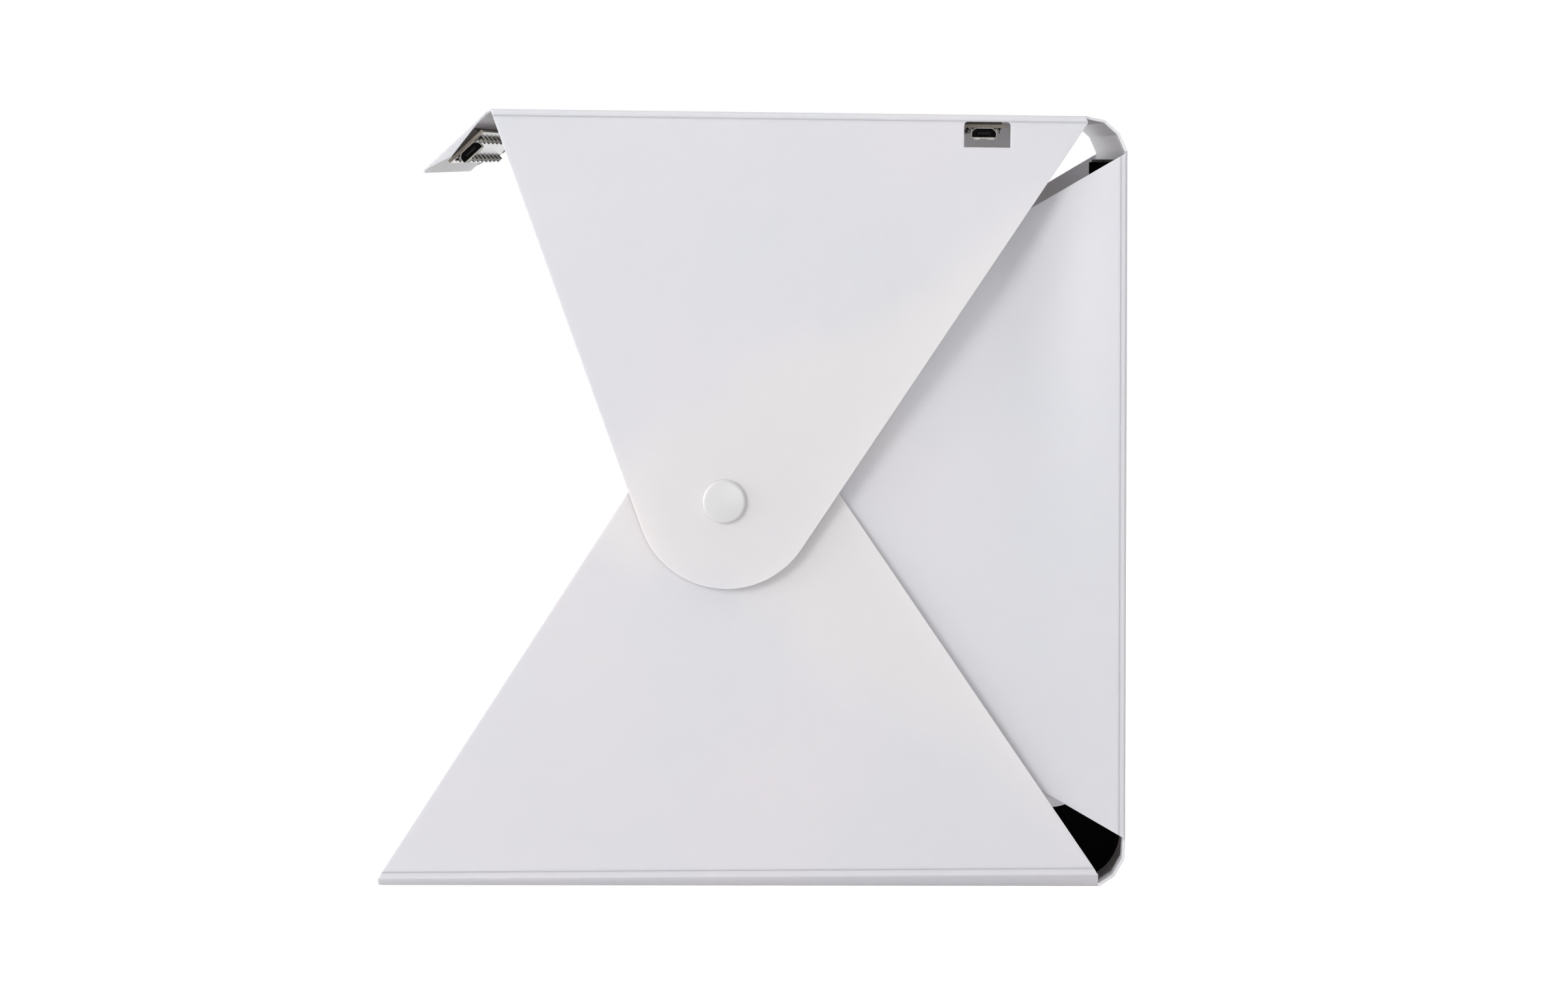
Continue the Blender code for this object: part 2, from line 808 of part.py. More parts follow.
def add_strips(back, seat, black):
    # Hook strips on the back panel and loop strips on the backdrop, one pair on each side.
    top = back_height - backdrop_top_below_back + strip_above_backdrop
    low = top - strip_height
    inner = strip_middle_space / 2
    outer = backdrop_half_width - strip_end_inset
    hook = sheet + seat_gap
    loop = hook + strip_thickness + seat_gap
    for side, word in ((1.0, "right"), (-1.0, "left")):
        x0, x1 = sorted((side * inner, side * outer))
        for kind, base, parent in (("hook", hook, back), ("loop", loop, seat)):
            slab(
                f"{kind}_strip_{word}",
                (x0, low, base),
                (x1, top, base + strip_thickness),
                black,
                parent,
                Matrix.Identity(4),
            )


def main():
    clear_scene()
    white = make_material("white_polypropylene", (0.72, 0.71, 0.73), 0.45)
    plastic = make_material("white_snap_plastic", (0.78, 0.77, 0.77), 0.35)
    black = make_material("black_pvc", (0.008, 0.008, 0.009), 0.5)
    materials = {
        "foam": make_material("dark_foam_tape", (0.05, 0.045, 0.04), 0.9),
        "board": make_material("white_circuit_board", (0.74, 0.7, 0.7), 0.4),
        "led": make_material("led_package", (0.55, 0.5, 0.35), 0.35),
        "metal": make_material("tinned_steel", (0.55, 0.54, 0.52), 0.3, 1.0),
        "dark": make_material("black_moulding", (0.01, 0.01, 0.01), 0.5),
    }
    panels = build_strip(white)
    add_flap_end_tabs(panels["front_flap"], white)
    wings = build_wings(panels, white)
    cut_window(wings["upper_wing_right"][0])
    add_snaps(wings, plastic)
    add_light("top_light", panels["top_panel"], top_light_from_rear_bend, materials)
    add_light("flap_light", panels["front_flap"], flap_light_from_crease, materials)
    seat = backdrop_seat(panels)
    build_backdrop(seat, black)
    add_strips(panels["back_panel"], seat, black)


main()
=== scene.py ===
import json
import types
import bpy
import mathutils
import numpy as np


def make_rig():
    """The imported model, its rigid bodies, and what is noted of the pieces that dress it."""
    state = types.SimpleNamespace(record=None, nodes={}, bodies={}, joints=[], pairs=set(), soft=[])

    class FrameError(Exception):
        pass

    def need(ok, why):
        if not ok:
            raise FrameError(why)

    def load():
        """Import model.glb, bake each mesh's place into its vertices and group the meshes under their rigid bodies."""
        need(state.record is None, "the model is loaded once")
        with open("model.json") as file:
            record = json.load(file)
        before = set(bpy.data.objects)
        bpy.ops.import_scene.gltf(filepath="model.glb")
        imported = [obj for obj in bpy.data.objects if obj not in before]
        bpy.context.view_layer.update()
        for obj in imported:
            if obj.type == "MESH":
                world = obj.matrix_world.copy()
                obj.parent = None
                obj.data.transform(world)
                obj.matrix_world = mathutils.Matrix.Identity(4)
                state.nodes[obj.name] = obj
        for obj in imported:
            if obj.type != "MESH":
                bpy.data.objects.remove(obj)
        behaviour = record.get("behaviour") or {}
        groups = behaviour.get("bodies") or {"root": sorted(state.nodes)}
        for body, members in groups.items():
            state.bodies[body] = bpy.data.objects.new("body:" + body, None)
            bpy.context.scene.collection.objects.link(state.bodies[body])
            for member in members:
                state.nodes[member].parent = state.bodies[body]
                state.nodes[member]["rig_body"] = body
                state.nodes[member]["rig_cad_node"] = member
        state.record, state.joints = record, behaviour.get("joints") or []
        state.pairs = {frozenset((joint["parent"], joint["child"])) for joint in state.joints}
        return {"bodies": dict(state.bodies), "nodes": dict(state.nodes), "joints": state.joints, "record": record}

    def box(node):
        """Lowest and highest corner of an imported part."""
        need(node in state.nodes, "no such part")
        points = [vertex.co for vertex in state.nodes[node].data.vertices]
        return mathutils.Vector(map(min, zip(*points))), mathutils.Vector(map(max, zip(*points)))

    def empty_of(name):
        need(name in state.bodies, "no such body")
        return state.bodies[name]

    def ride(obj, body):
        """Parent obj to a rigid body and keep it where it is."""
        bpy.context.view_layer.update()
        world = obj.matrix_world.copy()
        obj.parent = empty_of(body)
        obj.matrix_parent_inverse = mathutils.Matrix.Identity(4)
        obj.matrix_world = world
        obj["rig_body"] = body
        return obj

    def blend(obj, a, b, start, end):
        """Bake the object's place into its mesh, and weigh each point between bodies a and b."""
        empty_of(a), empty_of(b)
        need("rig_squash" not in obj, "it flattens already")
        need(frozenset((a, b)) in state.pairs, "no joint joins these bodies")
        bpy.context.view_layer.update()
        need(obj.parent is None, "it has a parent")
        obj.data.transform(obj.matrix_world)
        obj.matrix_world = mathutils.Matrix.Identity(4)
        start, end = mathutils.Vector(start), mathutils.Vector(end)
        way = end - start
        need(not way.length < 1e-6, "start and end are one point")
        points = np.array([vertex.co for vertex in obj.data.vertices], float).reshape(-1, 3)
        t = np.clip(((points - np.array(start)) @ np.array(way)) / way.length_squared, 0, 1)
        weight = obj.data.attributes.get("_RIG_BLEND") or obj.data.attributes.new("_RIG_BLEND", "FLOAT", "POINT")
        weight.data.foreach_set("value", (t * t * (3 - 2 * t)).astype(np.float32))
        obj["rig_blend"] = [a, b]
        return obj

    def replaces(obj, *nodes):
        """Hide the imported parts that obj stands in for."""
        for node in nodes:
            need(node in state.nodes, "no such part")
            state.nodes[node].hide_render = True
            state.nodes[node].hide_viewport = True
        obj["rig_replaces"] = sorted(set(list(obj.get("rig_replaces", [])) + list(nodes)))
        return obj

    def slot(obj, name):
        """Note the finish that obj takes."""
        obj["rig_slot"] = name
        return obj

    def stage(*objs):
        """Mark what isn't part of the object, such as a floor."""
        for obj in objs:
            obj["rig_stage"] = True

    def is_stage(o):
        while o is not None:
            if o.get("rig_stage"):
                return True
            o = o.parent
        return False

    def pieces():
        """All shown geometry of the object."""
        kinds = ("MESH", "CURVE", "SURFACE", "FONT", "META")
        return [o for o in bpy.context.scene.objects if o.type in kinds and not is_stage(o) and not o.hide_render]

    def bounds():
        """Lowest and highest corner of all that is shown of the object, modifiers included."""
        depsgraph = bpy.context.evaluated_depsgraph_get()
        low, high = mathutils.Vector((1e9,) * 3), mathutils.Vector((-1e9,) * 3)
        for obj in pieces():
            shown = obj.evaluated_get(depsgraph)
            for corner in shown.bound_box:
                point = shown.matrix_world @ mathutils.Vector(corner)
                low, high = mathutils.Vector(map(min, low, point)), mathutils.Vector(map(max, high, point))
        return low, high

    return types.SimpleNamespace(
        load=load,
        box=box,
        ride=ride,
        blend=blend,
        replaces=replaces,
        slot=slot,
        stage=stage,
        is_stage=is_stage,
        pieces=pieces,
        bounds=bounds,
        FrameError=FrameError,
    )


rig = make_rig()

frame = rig.load()

import json
from math import atan2, cos, degrees, pi, radians, sin, tan

import bmesh
import bpy
from mathutils import Matrix, Vector

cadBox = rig.bounds()
mm = 0.001
scene = bpy.context.scene
joints = {joint["name"]: joint for joint in frame["joints"]}
bothSides = (("right", 1.0), ("left", -1.0))
print("frame loaded:", len(frame["nodes"]), "solids")


# selecting, moving and finishing by hand

def deselectAll():
    if bpy.context.mode != "OBJECT":
        bpy.ops.object.mode_set(mode="OBJECT")
    bpy.ops.object.select_all(action="DESELECT")


def addObject(name, data):
    added = bpy.data.objects.new(name, data)
    scene.collection.objects.link(added)
    return added


def pick(piece):
    deselectAll()
    piece.select_set(True)
    bpy.context.view_layer.objects.active = piece


def selectMode(mode):
    bpy.ops.mesh.select_mode(type=mode)


def openEdit(piece, mode="VERT"):
    pick(piece)
    bpy.ops.object.mode_set(mode="EDIT")
    selectMode(mode)


def closeEdit():
    bpy.ops.object.mode_set(mode="OBJECT")


def selectAll():
    bpy.ops.mesh.select_all(action="SELECT")


def selectWhere(piece, kind, test):
    # kind is verts, edges or faces; the test reads one of them
    mesh = bmesh.from_edit_mesh(piece.data)
    for part in (mesh.faces, mesh.edges, mesh.verts):
        for one in part:
            one.select = False
    chosen = [one for one in getattr(mesh, kind) if test(one)]
    for one in chosen:
        one.select_set(True)
    mesh.select_flush_mode()
    bmesh.update_edit_mesh(piece.data)
    return len(chosen)


def cutAll(point, normal, **settings):
    selectAll()
    bpy.ops.mesh.bisect(plane_co=point, plane_no=normal, **settings)


def drawEdges(way):
    bpy.ops.mesh.extrude_edges_move(TRANSFORM_OT_translate={"value": way})


def drawFaces(way):
    bpy.ops.mesh.extrude_region_move(TRANSFORM_OT_translate={"value": way})


def resize(size, centre=(0.0, 0.0, 0.0)):
    bpy.ops.transform.resize(value=size, center_override=centre)


def faceOutwards():
    selectAll()
    bpy.ops.mesh.normals_make_consistent(inside=False)


def mergeDoubles(distance=1e-6):
    selectAll()
    bpy.ops.mesh.remove_doubles(threshold=distance)


def bakePlace():
    bpy.ops.object.transform_apply(location=True, rotation=True, scale=True)


def settle(piece, matrix):
    # the place goes into the mesh, and the object back to the origin
    piece.matrix_world = matrix @ piece.matrix_world
    pick(piece)
    bakePlace()


def aimFrom(holder, place, target):
    holder.location = place
    holder.rotation_euler = (Vector(target) - Vector(place)).to_track_quat("-Z", "Y").to_euler()


def newPlane(size, place, rotation=(0.0, 0.0, 0.0)):
    deselectAll()
    bpy.ops.mesh.primitive_plane_add(size=1.0, location=place, rotation=rotation)
    plane = bpy.context.object
    plane.scale = (*size, 1.0)
    bakePlace()
    return plane


def placeFrom(x, y, z, origin):
    matrix = Matrix((x, y, z)).transposed().to_4x4()
    matrix.translation = origin
    return matrix


def clamp(value):
    return min(max(value, 0.0), 1.0)


def applyModifier(piece, kind, **settings):
    pick(piece)
    modifier = piece.modifiers.new(kind.lower(), kind)
    for key, value in settings.items():
        setattr(modifier, key, value)
    bpy.ops.object.modifier_apply(modifier=modifier.name)


def smoothByAngle(piece, limit=35):
    # the limit is in degrees
    pick(piece)
    bpy.ops.object.shade_smooth_by_angle(angle=radians(limit))


def evenShading(piece, limit=35):
    smoothByAngle(piece, limit)
    applyModifier(piece, "WEIGHTED_NORMAL", keep_sharp=True)


def painted(piece, *materials):
    for material in materials:
        piece.data.materials.append(material)
    return piece


def finish(piece, name, finishSlot, materials, body=None, replaced=()):
    # with no materials given, the piece keeps the ones that it was painted with
    piece.name = name
    piece.data.name = name
    if materials:
        piece.data.materials.clear()
        painted(piece, *materials)
    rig.slot(piece, finishSlot)
    if replaced:
        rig.replaces(piece, *replaced)
    if body:
        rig.ride(piece, body)
    return piece


camera = {
    "place": (1.963, 0.0322, 0.225),
    "target": (0.113, 0.0102, 0.12162),
    "lens": 138.2,
    "sensor": 36.0,
}

cameraData = bpy.data.cameras.new("photoCamera")
cameraData.lens = camera["lens"]
cameraData.sensor_width = camera["sensor"]
scene.camera = addObject("photoCamera", cameraData)
aimFrom(scene.camera, camera["place"], camera["target"])

scene.view_settings.view_transform = "Standard"

studio = {
    "worldLight": 0.365,
    "worldSeen": 1.0,
    "lamps": [  # name, place, size and power of each soft lamp
        ("softKey", (1.75, -1.5, 0.75), 0.95, 21.0),
        ("softTop", (0.5, 0.0, 2.2), 1.4, 6.0),
        ("openFront", (0.3, -1.7, 0.3), 0.95, 18.0),
        ("besideCamera", (2.3, 0.35, 0.3), 0.58, 7.0),
        ("behindLeft", (-1.5, 1.3, 0.9), 1.2, 11.0),
    ],
    "aim": (0.0, 0.0, 0.12),  # the middle of the box, where all lamps point
    "floorSize": 6.0,
    "floorDrop": 0.2 * mm,
    "floorColour": 0.75,      # what the box is lit by
    "floorSeen": 0.55,        # what the camera and shiny surfaces see, with the glow on top
    "floorGlow": 0.8,
}


def setSockets(node, values):
    for socket, value in values.items():
        node.inputs[socket].default_value = value


def addNode(nodes, kind, values={}):
    node = nodes.new(f"ShaderNode{kind}")
    setSockets(node, values)
    return node


def valueOn(nodes, links, operation, *inputs):
    node = addNode(nodes, "Math")
    node.operation = operation
    for socket, value in zip(node.inputs, inputs):
        if isinstance(value, float):
            socket.default_value = value
        else:
            links.new(value, socket)
    return node.outputs[0]


def seenDirectly(nodes, links):
    # one where the ray comes from the camera, a shiny surface or through glass
    path = addNode(nodes, "LightPath")
    seen = path.outputs["Is Camera Ray"]
    for kind in ("Glossy", "Transmission"):
        seen = valueOn(nodes, links, "MAXIMUM", seen, path.outputs[f"Is {kind} Ray"])
    return seen


world = bpy.data.worlds.new("whiteStudio")
scene.world = world
world.use_nodes = True
nodes, links = world.node_tree.nodes, world.node_tree.links
strength = addNode(nodes, "MapRange", {"To Min": studio["worldLight"], "To Max": studio["worldSeen"]})
links.new(seenDirectly(nodes, links), strength.inputs["Value"])
setSockets(nodes["Background"], {"Color": (1.0, 1.0, 1.0, 1.0)})
links.new(strength.outputs[0], nodes["Background"].inputs["Strength"])


def addLamp(name, place, size, power):
    lamp = bpy.data.lights.new(name, "AREA")
    lamp.shape = "SQUARE"
    lamp.size = size
    lamp.energy = power
    aimFrom(addObject(name, lamp), place, studio["aim"])


for lampSettings in studio["lamps"]:
    addLamp(*lampSettings)


deselectAll()
bpy.ops.mesh.primitive_plane_add(size=studio["floorSize"], location=(0, 0, -studio["floorDrop"]))
studioFloor = bpy.context.object
studioFloor.name = "studioFloor"
floorPaint = bpy.data.materials.new("studioFloorPaint")
floorPaint.use_nodes = True
nodes, links = floorPaint.node_tree.nodes, floorPaint.node_tree.links
nodes.remove(nodes["Principled BSDF"])
plain, bright = (addNode(nodes, "BsdfDiffuse", {"Color": (grey, grey, grey, 1.0)})
                 for grey in (studio["floorColour"], studio["floorSeen"]))
glow = addNode(nodes, "Emission", {"Strength": studio["floorGlow"]})
both = addNode(nodes, "AddShader")
links.new(bright.outputs[0], both.inputs[0])
links.new(glow.outputs[0], both.inputs[1])
swap = addNode(nodes, "MixShader")
links.new(seenDirectly(nodes, links), swap.inputs[0])
links.new(plain.outputs[0], swap.inputs[1])
links.new(both.outputs[0], swap.inputs[2])
links.new(swap.outputs[0], nodes["Material Output"].inputs["Surface"])
painted(studioFloor, floorPaint)
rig.stage(studioFloor)
print("camera, lamps and floor placed")


def newMaterial(name, colour, roughness, metallic=0.0):
    material = bpy.data.materials.new(name)
    material.use_nodes = True
    shader = material.node_tree.nodes["Principled BSDF"]
    setSockets(shader, {"Base Color": (*colour, 1.0), "Roughness": roughness, "Metallic": metallic})
    return material, shader, material.node_tree.nodes, material.node_tree.links


def noiseOn(nodes, links, scale, detail=2.0):
    noise = addNode(nodes, "TexNoise", {"Scale": scale, "Detail": detail})
    links.new(addNode(nodes, "TexCoord").outputs["Object"], noise.inputs["Vector"])
    return noise.outputs["Fac"]


def cellsOn(nodes, links, scale):
    cells = addNode(nodes, "TexVoronoi", {"Scale": scale})
    links.new(addNode(nodes, "TexCoord").outputs["Object"], cells.inputs["Vector"])
    return cells.outputs["Distance"]


def rampOn(nodes, links, source, stops):
    ramp = addNode(nodes, "ValToRGB")
    elements = ramp.color_ramp.elements
    elements[0].position, elements[0].color = stops[0][0], (*stops[0][1], 1.0)
    elements[1].position, elements[1].color = stops[-1][0], (*stops[-1][1], 1.0)
    for position, colour in stops[1:-1]:
        elements.new(position).color = (*colour, 1.0)
    links.new(source, ramp.inputs["Fac"])
    return ramp.outputs["Color"]


def bumpOn(nodes, links, shader, height, strength, distance):
    bump = addNode(nodes, "Bump", {"Strength": strength, "Distance": distance})
    links.new(height, bump.inputs["Height"])
    links.new(bump.outputs["Normal"], shader.inputs["Normal"])


sheetLook = {
    "colour": (0.74, 0.73, 0.77),
    "roughness": 0.36,
    "mottle": (16.0, 3.0),         # size and detail
    "mottleStops": (
        (0.32, (0.717, 0.721, 0.758)), (0.5, (0.737, 0.727, 0.764)), (0.68, (0.767, 0.733, 0.769))),
    "glow": 0.7,                   # how much light goes into the sheet and through it
    "glowRadius": (1.0, 0.94, 0.86),
    "glowDepth": 2.0 * mm,
    "paintedBacklightTip": (-0.057, 0.119),  # tip of the wedge of painted light, paler and warmer, where a wing has the back wing behind it, in Y and Z
    "paintedBacklightSlope": 0.625,
    "paintedBacklightEdge": 0.012,
    "paintedBacklightUneven": 0.05,
    "paintedBacklightColour": (0.808, 0.775, 0.78, 1.0),
    "frost": (2400.0, 2.0),        # size and detail
    "frostBump": (0.06, 0.1 * mm),
}


def paintedBacklightTint(nodes, links, mottle, colour):
    # painted light: warmer and paler inside the wedge, for the light that the back wing gives back through the sheet,
    # with an uneven edge
    def value(operation, *inputs):
        return valueOn(nodes, links, operation, *inputs)

    parts = addNode(nodes, "SeparateXYZ")
    links.new(addNode(nodes, "TexCoord").outputs["Object"], parts.inputs[0])
    tipAlong, tipUp = sheetLook["paintedBacklightTip"]
    along = value("SUBTRACT", parts.outputs["Y"], tipAlong)
    up = value("ABSOLUTE", value("SUBTRACT", parts.outputs["Z"], tipUp))
    inside = value("SUBTRACT", value("MULTIPLY", along, sheetLook["paintedBacklightSlope"]), up)
    uneven = value("MULTIPLY_ADD", mottle, sheetLook["paintedBacklightUneven"], -sheetLook["paintedBacklightUneven"] / 2)
    edge = addNode(nodes, "MapRange", {
        "From Min": -sheetLook["paintedBacklightEdge"], "From Max": sheetLook["paintedBacklightEdge"]})
    edge.interpolation_type = "SMOOTHSTEP"
    links.new(value("ADD", inside, uneven), edge.inputs["Value"])
    tint = addNode(nodes, "Mix")
    tint.data_type = "RGBA"
    links.new(edge.outputs["Result"], tint.inputs["Factor"])
    links.new(colour, tint.inputs[6])
    tint.inputs[7].default_value = sheetLook["paintedBacklightColour"]
    return tint.outputs[2]


def frostedSheet(name, paintsBacklight):
    # cool white with a faint mottle, which lets light through; the backlit one also gets a wedge of painted light
    material, shader, nodes, links = newMaterial(name, sheetLook["colour"], sheetLook["roughness"])
    setSockets(shader, {
        "Subsurface Weight": sheetLook["glow"],
        "Subsurface Radius": sheetLook["glowRadius"],
        "Subsurface Scale": sheetLook["glowDepth"],
    })
    mottle = noiseOn(nodes, links, *sheetLook["mottle"])
    colour = rampOn(nodes, links, mottle, sheetLook["mottleStops"])
    if paintsBacklight:
        colour = paintedBacklightTint(nodes, links, mottle, colour)
    links.new(colour, shader.inputs["Base Color"])
    bumpOn(nodes, links, shader, noiseOn(nodes, links, *sheetLook["frost"]), *sheetLook["frostBump"])
    return material


def patterned(name, colour, roughness, pattern, measures, stops=None, bump=None, metallic=0.0, sockets={}):
    # measures go to the pattern, stops are its places and colours, and bump is strength and depth
    material, shader, nodes, links = newMaterial(name, colour, roughness, metallic)
    source = pattern(nodes, links, *measures)
    if stops:
        links.new(rampOn(nodes, links, source, stops), shader.inputs["Base Color"])
    if bump:
        bumpOn(nodes, links, shader, source, *bump)
    setSockets(shader, sockets)
    return material


polypropylene = frostedSheet("frosted polypropylene", False)
# painted light: the upper and lower wings are paler and warmer where the back wing lies behind them
polypropyleneWithPaintedBacklight = frostedSheet("frosted polypropylene over a second sheet", True)
snapPlastic = patterned(
    "moulded snap plastic", (0.7, 0.69, 0.69), 0.3, noiseOn, (1500.0,), bump=(0.05, 0.1 * mm))
blackSheet = patterned(
    "matt black backdrop", (0.002, 0.002, 0.002), 0.8, noiseOn, (3000.0,),
    ((0.3, (0.0015, 0.0015, 0.0016)), (0.7, (0.003, 0.003, 0.0031))), (0.15, 0.1 * mm),
    sockets={"Specular IOR Level": 0.0})
whiteMask = patterned(  # a little warmer where the copper runs under it
    "white solder mask", (0.84, 0.80, 0.79), 0.14, noiseOn, (220.0, 1.0),
    ((0.42, (0.82, 0.785, 0.775)), (0.6, (0.86, 0.825, 0.815))), (0.1, 0.1 * mm))
boardEdge = patterned(
    "cut glass fibre edge", (0.25, 0.215, 0.18), 0.6, noiseOn, (900.0, 3.0),
    ((0.3, (0.22, 0.188, 0.155)), (0.7, (0.29, 0.25, 0.21))))
ledFrame = patterned(
    "light package frame", (0.62, 0.6, 0.54), 0.4, noiseOn, (1800.0,),
    ((0.3, (0.56, 0.54, 0.47)), (0.7, (0.66, 0.64, 0.58))))
ledPhosphor = patterned(
    "yellow phosphor window", (0.55, 0.47, 0.2), 0.3, noiseOn, (2600.0,),
    ((0.3, (0.50, 0.43, 0.17)), (0.7, (0.62, 0.54, 0.26))), sockets={"Coat Weight": 0.4})
# painted shade: the packages' sides are darkened for the shade that falls on them
ledEnd = patterned(
    "dark package end", (0.03, 0.025, 0.018), 0.5, noiseOn, (2200.0,),
    ((0.3, (0.02, 0.016, 0.011)), (0.7, (0.045, 0.038, 0.026))))
solderTin = patterned(
    "dull solder", (0.3, 0.29, 0.27), 0.42, noiseOn, (1600.0,),
    ((0.3, (0.24, 0.23, 0.21)), (0.7, (0.36, 0.35, 0.33))), (0.25, 0.1 * mm), 1.0)
# painted shade: the tinned shell is darkened for the shade of the window that it sits in
shellTinWithPaintedShade = patterned(
    "tinned socket shell", (0.24, 0.23, 0.21), 0.42, noiseOn, (1200.0,),
    ((0.3, (0.20, 0.19, 0.175)), (0.7, (0.29, 0.28, 0.26))), (0.06, 0.1 * mm), 1.0)
darkMoulding = patterned(
    "black moulding", (0.004, 0.004, 0.004), 0.6, noiseOn, (2000.0,),
    ((0.3, (0.003, 0.003, 0.003)), (0.7, (0.007, 0.007, 0.007))), sockets={"Specular IOR Level": 0.15})
foamTape = patterned(
    "dark foam tape", (0.13, 0.115, 0.1), 0.9, cellsOn, (2600.0,),
    ((0.1, (0.16, 0.145, 0.125)), (0.6, (0.09, 0.08, 0.07))), (0.4, 0.1 * mm))
hookLoop = patterned(
    "black hook and loop", (0.008, 0.008, 0.008), 0.85, cellsOn, (1700.0,),
    ((0.1, (0.012, 0.012, 0.013)), (0.6, (0.004, 0.004, 0.004))), (0.8, 0.2 * mm))
print("materials mixed")


sheetMake = {
    "thickness": 0.8 * mm,
    "cutEdge": 0.07 * mm,
    "cutAngle": 45,           # an edge that turns by more is a cut edge
    "flatAngle": 0.5,         # faces that turn by less are merged
    "weld": 0.02 * mm,
    "onPlane": 0.03 * mm,     # this near to a plane counts as on it
    "onCut": 0.01 * mm,
    "bendPitch": 6.0 * mm,
    "sideLeg": 2.0 * mm,      # from a wing's crease to the flat sheet
    "foldLeg": 1.2 * mm,      # the same at the creases across the strip
    "creaseRadius": 0.9 * mm,
    "creaseReach": 0.4 * mm,  # how near to its crease a wing's corners lie
    "arcSteps": (3, 10),      # the fewest, and those of a quarter turn
    "bow": 6.0 * mm,          # of the back wings, between crease and snap, most at the top
    "bowCuts": (22, 12),      # across the wing and up it
    "bowHeights": (50.0 * mm, 205.0 * mm),
    "bowLeast": 0.2,          # share of the bow that is left at the lower height
    "bowCurve": (1.6, 2.0, 0.7, 35.0),  # powers at crease and snap, share where it ends, 1 over its peak
    "skirtBlend": ((112.5 * mm, 2.5 * mm), (112.9 * mm, 4.8 * mm)),  # its two ends, out and up
}
halfWidths = {"box": 113.0 * mm, "floor": 110.0 * mm, "back": 112.0 * mm, "flap": 110.6 * mm}
angles = {"floor": 0.0, "lower": (33.0, 60.0, 87.0), "back": 90.0,
          "upper": (114.0, 138.0, 168.0), "top": 179.3, "flap": 222.8}
pitch, sideLeg, foldLeg = (sheetMake[key] for key in ("bendPitch", "sideLeg", "foldLeg"))
bodyOf = {node: body for body, members in frame["record"]["behaviour"]["bodies"].items() for node in members}


def alongStrip(angle):
    return Vector((0, cos(radians(angle)), sin(radians(angle))))


def outOfStrip(angle):
    return Vector((0, sin(radians(angle)), -cos(radians(angle))))


def jointPoint(name):
    return Vector(joints[name]["pos_m"])


def solidMesh(node):
    return frame["nodes"][node].data


lowerCreases = [jointPoint("back_fold") - alongStrip(angles["lower"][0]) * pitch, jointPoint("back_fold")]
for angle in angles["lower"][1:]:
    lowerCreases.append(lowerCreases[-1] + alongStrip(angle) * pitch)
upperCreases = [jointPoint("top_fold")]
for angle in angles["upper"][1::-1]:
    upperCreases.insert(0, upperCreases[0] - alongStrip(angle) * pitch)
upperCreases.append(upperCreases[-1] + alongStrip(angles["upper"][2]) * pitch)
flapCrease = jointPoint("flap_tilt")


def bevelWhere(piece, width, test):
    openEdit(piece, "EDGE")
    if selectWhere(piece, "edges", test):
        bpy.ops.mesh.bevel(offset=width, segments=2, affect="EDGES")
    closeEdit()


def breakEdges(piece, plainPlanes):
    # takes the sharpness off every cut edge that isn't on one of the plain planes
    def isCut(edge):
        if edge.calc_face_angle(0.0) < radians(sheetMake["cutAngle"]):
            return False
        for point, normal in plainPlanes:
            if all(abs((v.co - point).dot(normal)) < sheetMake["onPlane"] for v in edge.verts):
                return False
        return True

    bevelWhere(piece, sheetMake["cutEdge"], isCut)


def copyOfSolid(node, name):
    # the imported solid, merged to whole faces and left open in edit mode
    piece = addObject(name, solidMesh(node).copy())
    openEdit(piece)
    bpy.ops.mesh.customdata_custom_splitnormals_clear()
    mergeDoubles(sheetMake["weld"])
    bpy.ops.mesh.dissolve_limited(angle_limit=radians(sheetMake["flatAngle"]))
    return piece


def sheetFromNode(node, trims, name, look=polypropylene):
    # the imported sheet, cut back from its creases
    piece = copyOfSolid(node, name)
    for point, normal in trims:
        cutAll(point, normal, use_fill=True, clear_outer=True)
    closeEdit()
    breakEdges(piece, trims)
    evenShading(piece)
    return finish(piece, name, "white_sheet", [look], bodyOf[node], [node])


def drawBand(leg, bends):
    # Drawn in Y and Z up to the first crease, which is at the origin, then round each bend.
    # Gives the piece, each arc's two ends, the band's end and the angle that it heads at.
    radius = sheetMake["creaseRadius"]
    fewest, quarter = sheetMake["arcSteps"]
    setbacks = [radius * tan(radians(turn) / 2) for turn, _ in bends]
    flat = leg - setbacks[0]
    piece = newPlane((1.0, flat), (0.0, -setbacks[0] - flat / 2, 0.0))
    openEdit(piece, "EDGE")
    selectWhere(piece, "edges", lambda e: all(v.co.y > -setbacks[0] - 1e-6 for v in e.verts))
    place, heading = Vector((0.0, 0.0)), 0.0
    arcs = []
    for i, (turn, onward) in enumerate(bends):
        way = Vector((cos(heading), -sin(heading)))
        inside = Vector((-sin(heading), -cos(heading)))
        first = place - way * setbacks[i]
        centre = first + inside * radius
        bpy.ops.mesh.spin(steps=max(fewest, round(quarter * turn / 90)), angle=radians(turn),
                          center=(0.0, centre.x, centre.y), axis=(1.0, 0.0, 0.0))
        heading += radians(turn)
        way = Vector((cos(heading), -sin(heading)))
        arcs.append((first, place + way * setbacks[i]))
        isLast = i + 1 == len(bends)
        length = leg - setbacks[i] if isLast else onward - setbacks[i] - setbacks[i + 1]
        drawEdges((0.0, way.x * length, way.y * length))
        place = place + way * (leg if isLast else onward)
    mergeDoubles()
    faceOutwards()
    closeEdit()
    return piece, arcs, place, heading


def fitWidths(piece, tips, widths):
    # tips are the places, two by two, between which the width changes evenly
    for v in piece.data.vertices:
        here = Vector((v.co.y, v.co.z))
        low, high = widths[0]
        for a, b, before, after in zip(tips[::2], tips[1::2], widths, widths[1:]):
            share = clamp((here - a).dot(b - a) / (b - a).length_squared)
            low += (after[0] - before[0]) * share
            high += (after[1] - before[1]) * share
        v.co.x = low if v.co.x < 0 else high


